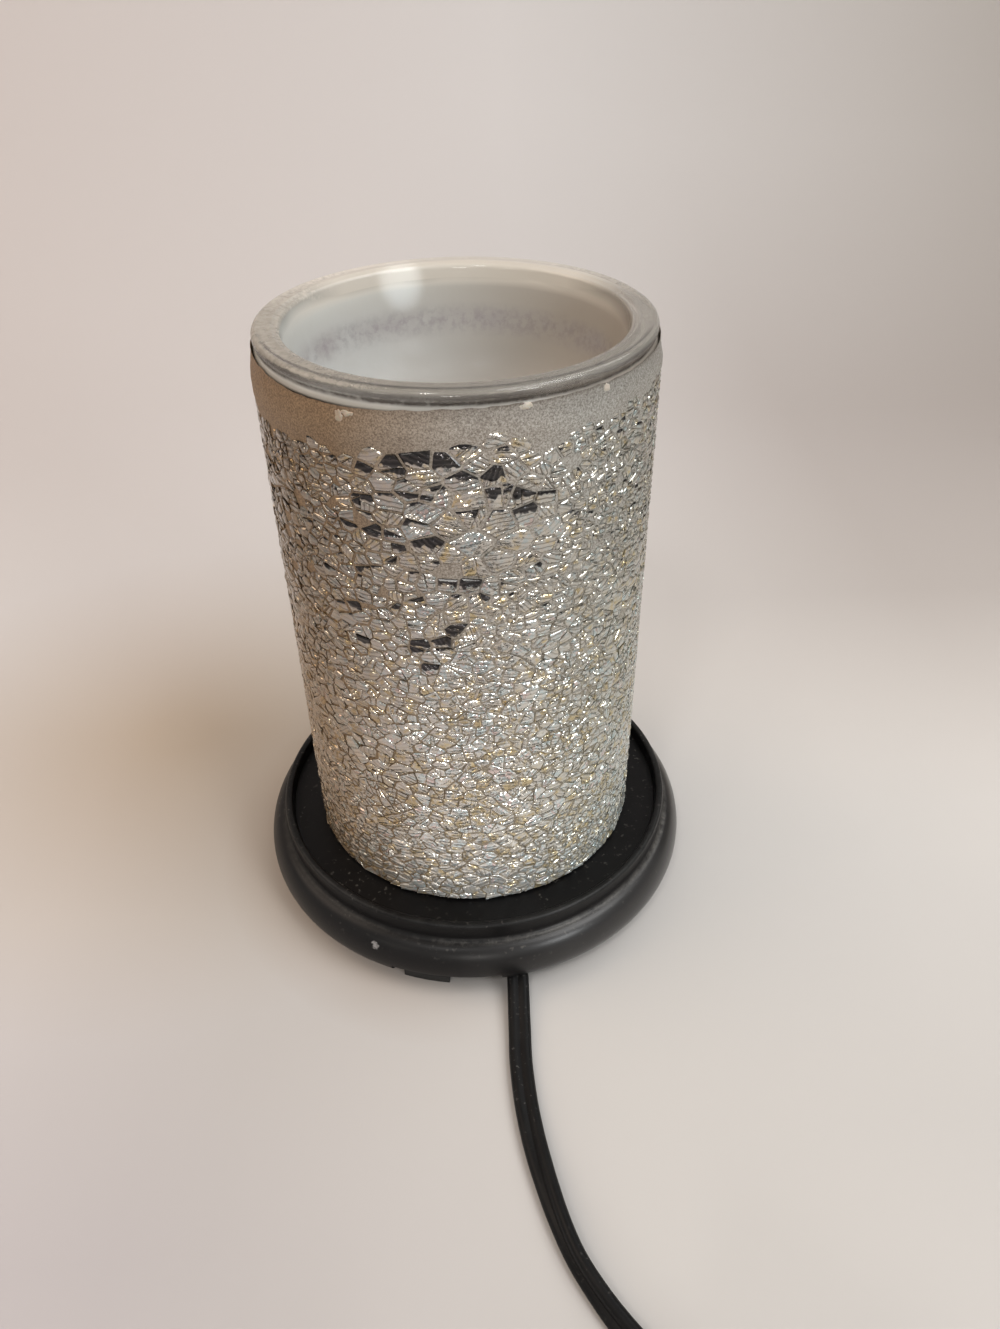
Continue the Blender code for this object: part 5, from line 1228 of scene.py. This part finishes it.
def make_shade_glass():
    outline = []
    for radius, height, start in (
        (TUBE_OUTER - TUBE_EDGE, TUBE_LOW + TUBE_EDGE, -90), (TUBE_OUTER - TUBE_EDGE, TUBE_HIGH - TUBE_EDGE, 0),
        (TUBE_INNER + TUBE_EDGE, TUBE_HIGH - TUBE_EDGE, 90), (TUBE_INNER + TUBE_EDGE, TUBE_LOW + TUBE_EDGE, 180),
    ):
        outline += arc((radius, height), (TUBE_EDGE, TUBE_EDGE), start, start + 90, 4)
    return turned("shade_glass_tube", in_mm(outline), steps=128)


def dish_inside(skin, start, bead_steps, bowl_steps):
    """From under the dish's flange over its two beads to the bowl's floor, grown by a skin, in millimetres."""
    return [
        *arc((DISH_RIM - 0.86, DISH_SEAT + 0.86), (0.8 + skin, 0.8 + skin), start, 50, 6),
        *arc((DISH_RIM - 0.14, DISH_SEAT + 2.1), (0.45 - skin, 0.62 - skin), 225, 140, 4),
        *arc((DISH_RIM - DISH_BEAD, DISH_TOP - DISH_BEAD), (DISH_BEAD + skin,) * 2, -42, 90, bead_steps),
        *arc((39.0, DISH_TOP - 0.55), (0.75, 0.5 + skin), 60, 120, 2),
        *arc((38.0, DISH_TOP - 1.3), (0.8 + skin, 0.85 + skin), 80, 180, 5),
        *arc((BOWL_CURVE, DISH_SEAT), (11.6 - skin, DISH_SEAT - BOWL_FLOOR - skin), 0, -90, bowl_steps),
        (BOWL_FLAT, BOWL_FLOOR + skin), (0.0, BOWL_FLOOR + skin),
    ]


def make_dish():
    """A thick pressed bowl whose flange has a full bead on top and a second one below it."""
    outline = [(0.0, BOWL_UNDER), (BOWL_FLAT, BOWL_UNDER)]
    outline += arc((BOWL_CURVE, DISH_SEAT), (14.0, DISH_SEAT - BOWL_UNDER), -90, 0, 18)
    outline += dish_inside(0.0, -90, 10, 18)
    return turned("glass_dish", in_mm(outline), steps=160, closed=False, angle=DISH_SHARP)


def make_wax_film():
    """A thin shell inside the bowl and over its flange."""
    outline = in_mm(dish_inside(WAX_SKIN, -80, 12, 24))
    return turned("wax_film", outline, steps=160, closed=False, angle=FILM_SHARP)


def rod(name, radius, low, high, place):
    middle = (place[0], place[1], (low + high) / 2)
    bpy.ops.mesh.primitive_cylinder_add(vertices=48, radius=radius, depth=high - low, location=middle)
    piece = named(name)
    settle(piece)
    tidy_mesh(piece, ROD_SHARP)
    return piece


def block(name, size, middle, degrees=0.0):
    bpy.ops.mesh.primitive_cube_add(size=1.0, location=middle, rotation=(0, 0, math.radians(degrees)))
    piece = named(name)
    piece.scale = size
    settle(piece)
    return piece


def make_base_body():
    """Well, cove, rounded nose and under side, with the notch that the lead leaves by."""
    outline = [
        (9.0, 16.0), (9.0, 18.0), (37.6, 18.0), (37.6, 23.4), (37.8, 23.6), (38.7, 23.6), (39.0, 23.3),
        (39.2, 22.6), (39.2, 18.0), (52.4, 18.0), (52.9, 20.4),
        *arc((53.5, 20.4), (0.6, 0.6), 170, 90, 4),
        *arc((54.2, 20.2), (0.75, 0.8), 90, 0, 5),
        *arc((55.75, 16.9), (0.85, 1.15), 180, 245, 4),
        *arc((55.2, 8.2), (4.8, 7.4), 84, 0, 18),
        *arc((57.2, 8.2), (2.8, 4.2), -8, -90, 9),
        (54.9, 4.0), (54.9, 12.4), (52.6, 16.0),
    ]
    piece = turned("base_body", in_mm(outline), steps=192, angle=BASE_SHARP)
    cut_away(piece, notch_cutter())
    holes = [(2.6 * MM, polar(28.0 * MM, angle)) for angle in (60, 120, 240, 300)]
    holes += [(2.2 * MM, (side * HOLDER_SCREW_X, 0.0)) for side in (-1, 1)]
    for radius, place in holes:
        cut_away(piece, rod("hole_tool", radius, 15.5 * MM, 18.5 * MM, place))
    tidy_mesh(piece, BASE_SHARP)
    return piece


def make_under_side():
    """Ribs, screw posts and the lead's seat under the deck."""
    pieces = []
    for angle in (30, 90, 150, 210, 330):
        size, middle = (40.6 * MM, 1.6 * MM, 5.0 * MM), polar(32.3 * MM, angle, 13.5 * MM)
        pieces.append(block(f"deck_rib_{angle}", size, middle, angle))
    posts = [(polar(44.0 * MM, angle), 3.8, 1.7, 7.3) for angle in (0, 120, 240)]
    posts += [(Vector((side * HOLDER_SCREW_X, 0, 0)), 4.2, 2.2, 9.7) for side in (-1, 1)]
    posts += [(Vector((CORD_EXIT_X + side * 8.0 * MM, CLAMP_Y, 0)), 3.0, 1.5, 8.2) for side in (-1, 1)]
    for index, (place, radius, bore, low) in enumerate(posts):
        post = rod(f"screw_post_{index}", radius * MM, low * MM, DECK_LOW, place)
        cut_away(post, rod("bore_tool", bore * MM, (low - 1.0) * MM, 15.4 * MM, place))
        tidy_mesh(post, BASE_SHARP)
        pieces.append(post)
    size = (CORD_WIDTH + 1.0 * MM, 5.0 * MM, DECK_LOW - CLAMP_HEIGHT - 1.7 * MM)
    pieces.append(block("lead_seat", size, (CORD_EXIT_X, CLAMP_Y, DECK_LOW - size[2] / 2)))
    return pieces


def notch_cutter():
    """A sector of a ring from -85 degrees on, up to the notch's roof; the operator turns the other way."""
    corners = [
        (NOTCH_INNER, NOTCH_LOW), (NOTCH_OUTER, NOTCH_LOW), (NOTCH_OUTER, NOTCH_ROOF), (NOTCH_INNER, NOTCH_ROOF),
    ]
    piece = drawn("notch_tool", in_mm(corners), True)
    bpy.ops.transform.rotate(value=math.radians(NOTCH_TURN), orient_axis="Z", center_override=(0, 0, 0))
    bpy.ops.mesh.spin(steps=14, angle=math.radians(NOTCH_SWEEP), center=(0, 0, 0), axis=(0, 0, 1))
    pick_all()
    bpy.ops.mesh.remove_doubles(threshold=MERGE_DISTANCE)
    bpy.ops.mesh.select_all(action="DESELECT")
    bpy.ops.mesh.select_non_manifold()
    bpy.ops.mesh.edge_face_add()
    pick_all()
    bpy.ops.mesh.normals_make_consistent(inside=False)
    done()
    return piece


# Studio


def make_floor():
    """A pale floor that sweeps up into a backdrop behind the object."""
    start, bend, wide, high = 0.33, 0.5, 3.0, 2.2
    outline = [(-wide, 0.0), (start, 0.0)]
    outline += [(start + y, z) for y, z in arc((0.0, bend), (bend, bend), -84, 0, 14)]
    outline.append((start + bend, high))
    points = [(side, y, z) for y, z in outline for side in (-wide, wide)]
    faces = [(2 * step, 2 * step + 1, 2 * step + 3, 2 * step + 2) for step in range(len(outline) - 1)]
    piece = meshed("floor", points, faces)
    piece.data.polygons.foreach_set("use_smooth", [True] * len(faces))
    piece.data.materials.append(floor_paint())
    return piece


def floor_paint():
    """Pale paint, tinted in places as the photograph's table and wall are, with painted light and shade: painted
    shadows beside and under the object, a painted pool of light to its right, and a wall painted warmer on the
    left and shaded on the right; sizes are in metres.
    """
    made, where = finish_of("floor_paint")
    x, y, _ = where.parts()
    near = blend(where.noisy(3.0, 2.0).spread(0.3, 0.7), FLOOR_COLOUR, darker(FLOOR_COLOUR, 0.985))
    # Painted shade on the table's left front; further left the table is painted lighter, as painted light.
    painted_shade_left_front = x.spread(0.03, -0.08) * y.spread(-0.03, -0.12)
    near = toned(near, (painted_shade_left_front, (0.84, 0.82, 0.85)), (x.spread(-0.06, -0.12), (1.1, 1.09, 1.11)))
    # A painted pool of light on the table to the right of and behind the object.
    painted_light_right_back = x.spread(0.03, 0.12) * y.spread(-0.1, -0.02) * y.spread(0.12, 0.02)
    # A painted warm shadow left of the object and a painted contact shadow along the base's left front.
    painted_shadow_patch = where.away((-0.10, 0.05, 0.0)).spread(0.12, 0.01)
    painted_contact_shadow = length(x, y).spread(0.076, 0.058) * x.spread(0.01, -0.03)
    near = toned(
        blend(painted_light_right_back, near, FLOOR_LIT_RIGHT), (painted_shadow_patch, (0.84, 0.73, 0.60)), (painted_contact_shadow, (0.87, 0.81, 0.76))
    )
    # The wall is painted warmer on the left and shaded on the right, and the table at the far right is painted
    # darker, as painted shade.
    wall = blend(x.spread(-0.35, 0.1), BACKDROP_LEFT, BACKDROP_COLOUR)
    wall = blend(x.spread(0.04, 0.5), wall, BACKDROP_SHADED)
    painted_shade_far_right = x.spread(0.05, 0.18) * (y.spread(0.0, 0.12) * y.spread(0.6, 0.3))
    base = toned(blend(y.spread(0.05, 0.26), near, wall), (painted_shade_far_right, (0.81, 0.78, 0.765)))
    return finished(made, Base_Color=base, Roughness=0.6)


def make_world():
    """Even room light, darker low down behind the camera; what is seen of the room is one grey."""
    world = bpy.data.worlds.new("room")
    bpy.context.scene.world = world
    world.use_nodes = True
    tree = world.node_tree
    x, y, z = Value(add(tree, "ShaderNodeTexCoord").outputs["Generated"]).parts()
    dark = y.spread(-0.15, -0.75) * z.spread(0.75, 0.2)
    room = blend(dark, blend(x.spread(-0.1, -0.8), WORLD_COLOUR, WORLD_LEFT), WORLD_DARK)
    rays = add(tree, "ShaderNodeLightPath").outputs
    camera, passed, mirrored = [Value(rays[f"Is {kind} Ray"]) for kind in ("Camera", "Transmission", "Glossy")]
    seen = camera.most(passed).most(mirrored)
    give(tree.nodes["Background"], Color=blend(seen, room, WORLD_SEEN), Strength=1.0)


def aimed(name, kind, place, goal, power, colour, **settings):
    """A light of some kind that looks at a goal."""
    data = bpy.data.lights.new(name, kind)
    for key, value in settings.items():
        setattr(data, key, value)
    data.energy = power
    data.color = colour
    light = placed(name, data)
    light.location = place
    light.rotation_euler = (Vector(goal) - Vector(place)).to_track_quat("-Z", "Y").to_euler()
    return light


def make_light(name, place, goal, size, power, colour):
    return aimed(name, "AREA", place, goal, power, colour, shape="DISK", size=size)


def make_beam(name, place, goal, degrees, power, colour):
    """A narrow soft beam that puts a bright patch in one place."""
    angle = math.radians(degrees)
    return aimed(
        name, "SPOT", place, goal, power, colour, spot_size=angle, spot_blend=1.0, shadow_soft_size=0.005
    )


make_camera()

black = black_moulding()
cord_black = soft_plastic("cord_plastic", (0.004, 0.004, 0.0045), (0.008, 0.0078, 0.008), 0.34, 0.48, gloss=0.15)
lead_route = smooth_route(LEAD_POINTS)
lead = dress(swept_lead("lead", lead_route), cord_black, "base")
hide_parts("cord_lead")
far_route = far_points()
far_lead = dress(swept_lead("far_lead", far_route), cord_black, "base")
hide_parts("cord_mid", "cord_coil", "cord_tail")

materials = {
    "black_plastic": black,
    "foot_rubber": soft_plastic(
        "foot_rubber", (0.010, 0.010, 0.010), (0.018, 0.017, 0.016), 0.62, 0.78, grained=(1800.0, 0.06, 150.0),
        dusty=(900.0, 0.7), dust_share=0.5, dust_colour=(0.2, 0.18, 0.16),
    ),
    "lamp_glass": hazy_glass("lamp_glass", (0.97, 0.98, 0.98), 0.05),
    "aluminium": metal("bright_aluminium", (0.80, 0.80, 0.79), 0.12, 0.3, (1.0, 1.0, 5.0)),
    "steel": metal("zinc_steel", (0.58, 0.58, 0.57), 0.25, 0.42, (1.0, 1.0, 6.0)),
    "ceramic": glaze(),
    "brass": metal("brass", (0.78, 0.60, 0.30), 0.2, 0.35, (3.0, 1.0, 1.0)),
    "wire_sleeve": soft_plastic("wire_sleeve", (0.60, 0.60, 0.58), (0.74, 0.73, 0.70), 0.5, 0.7),
    "cord_plastic": cord_black,
    "switch_plastic": soft_plastic("switch_plastic", (0.010, 0.010, 0.011), (0.018, 0.017, 0.017), 0.4, 0.55),
    "switch_screw_steel": metal("dark_steel", (0.30, 0.30, 0.30), 0.3, 0.5, (1.0, 1.0, 4.0)),
}
slot_of = {item["node"]: item["material_slot"] for item in frame["record"]["subparts"]}
own_pieces = {
    "base_housing", "mosaic_coat", "shade_glass", "wax_dish", "cord_lead", "cord_mid", "cord_coil", "cord_tail",
}
fittings = {"switch": [], "plug": []}
for node, source in sorted(frame["nodes"].items()):
    if node in own_pieces:
        continue
    slot = slot_of[node]
    piece = smooth_copy(node, 0.0 if "wire" in node or "core" in node else EDGE_WIDTH)
    dress(piece, materials[slot], source["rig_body"])
    fittings.get(node.split("_")[0], []).append(piece)

base_body = dress(make_base_body(), black, "base")
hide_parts("base_housing")
for piece in make_under_side():
    dress(piece, black, "base")
grout_piece = dress(make_grout(), grout(), "base")
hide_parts("mosaic_coat")
dress(make_chips(), mirror_chip(), "base")
tube_look = hazy_glass("shade_glass", (0.93, 0.95, 0.94), 0.3, passed=0.85)
tube = dress(make_shade_glass(), tube_look, "base")
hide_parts("shade_glass")
dish_look = hazy_glass("dish_glass", (0.93, 0.92, 0.89), 0.14, 0.9)
dish = dress(make_dish(), dish_look, "dish")
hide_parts("wax_dish")
dress(make_wax_film(), wax_film(), "dish")
old_wax = wax()
for index, (name, around, height, size) in enumerate(FLECKS):
    fleck = make_fleck(name, around, height * MM, [value * MM for value in size], 7.0 * index)
    dress(fleck, old_wax, "base")

make_world()
make_floor()
make_light("key", (0.60, -0.30, 1.0), (0.0, 0.0, 0.06), 0.8, 6.3, (1.0, 0.995, 0.985))
make_light("back", (0.62, 0.42, 0.95), (0.0, 0.0, 0.06), 0.6, 2.0, (1.0, 0.99, 0.97))
make_light("fill", (-0.75, 0.1, 0.8), (0.0, 0.0, 0.08), 0.8, 3.8, (1.0, 0.81, 0.65))
make_light("pane", (-0.30, -0.75, 1.1), (0.0, 0.0, 0.1), 0.16, 2.0, (1.0, 0.99, 0.97))
make_light("window", (0.95, -1.20, 0.74), (0.0, 0.0, 0.08), 0.45, 5.6, (0.96, 0.99, 1.0))
make_light("low_window", (-0.12, -1.60, 0.44), (0.0, 0.0, 0.08), 0.3, 3.4, (1.0, 0.97, 0.92))
make_light("glow", (-0.95, -1.1, 0.52), (0.0, 0.0, 0.08), 0.3, 0.8, (1.0, 0.93, 0.82))
make_beam("sheen", (0.03, -0.15, 0.30), (-0.0132, 0.0356, 0.1515), 1.05, 13.0, (0.80, 0.91, 1.0))

scene = bpy.context.scene
scene.view_settings.view_transform = "Standard"
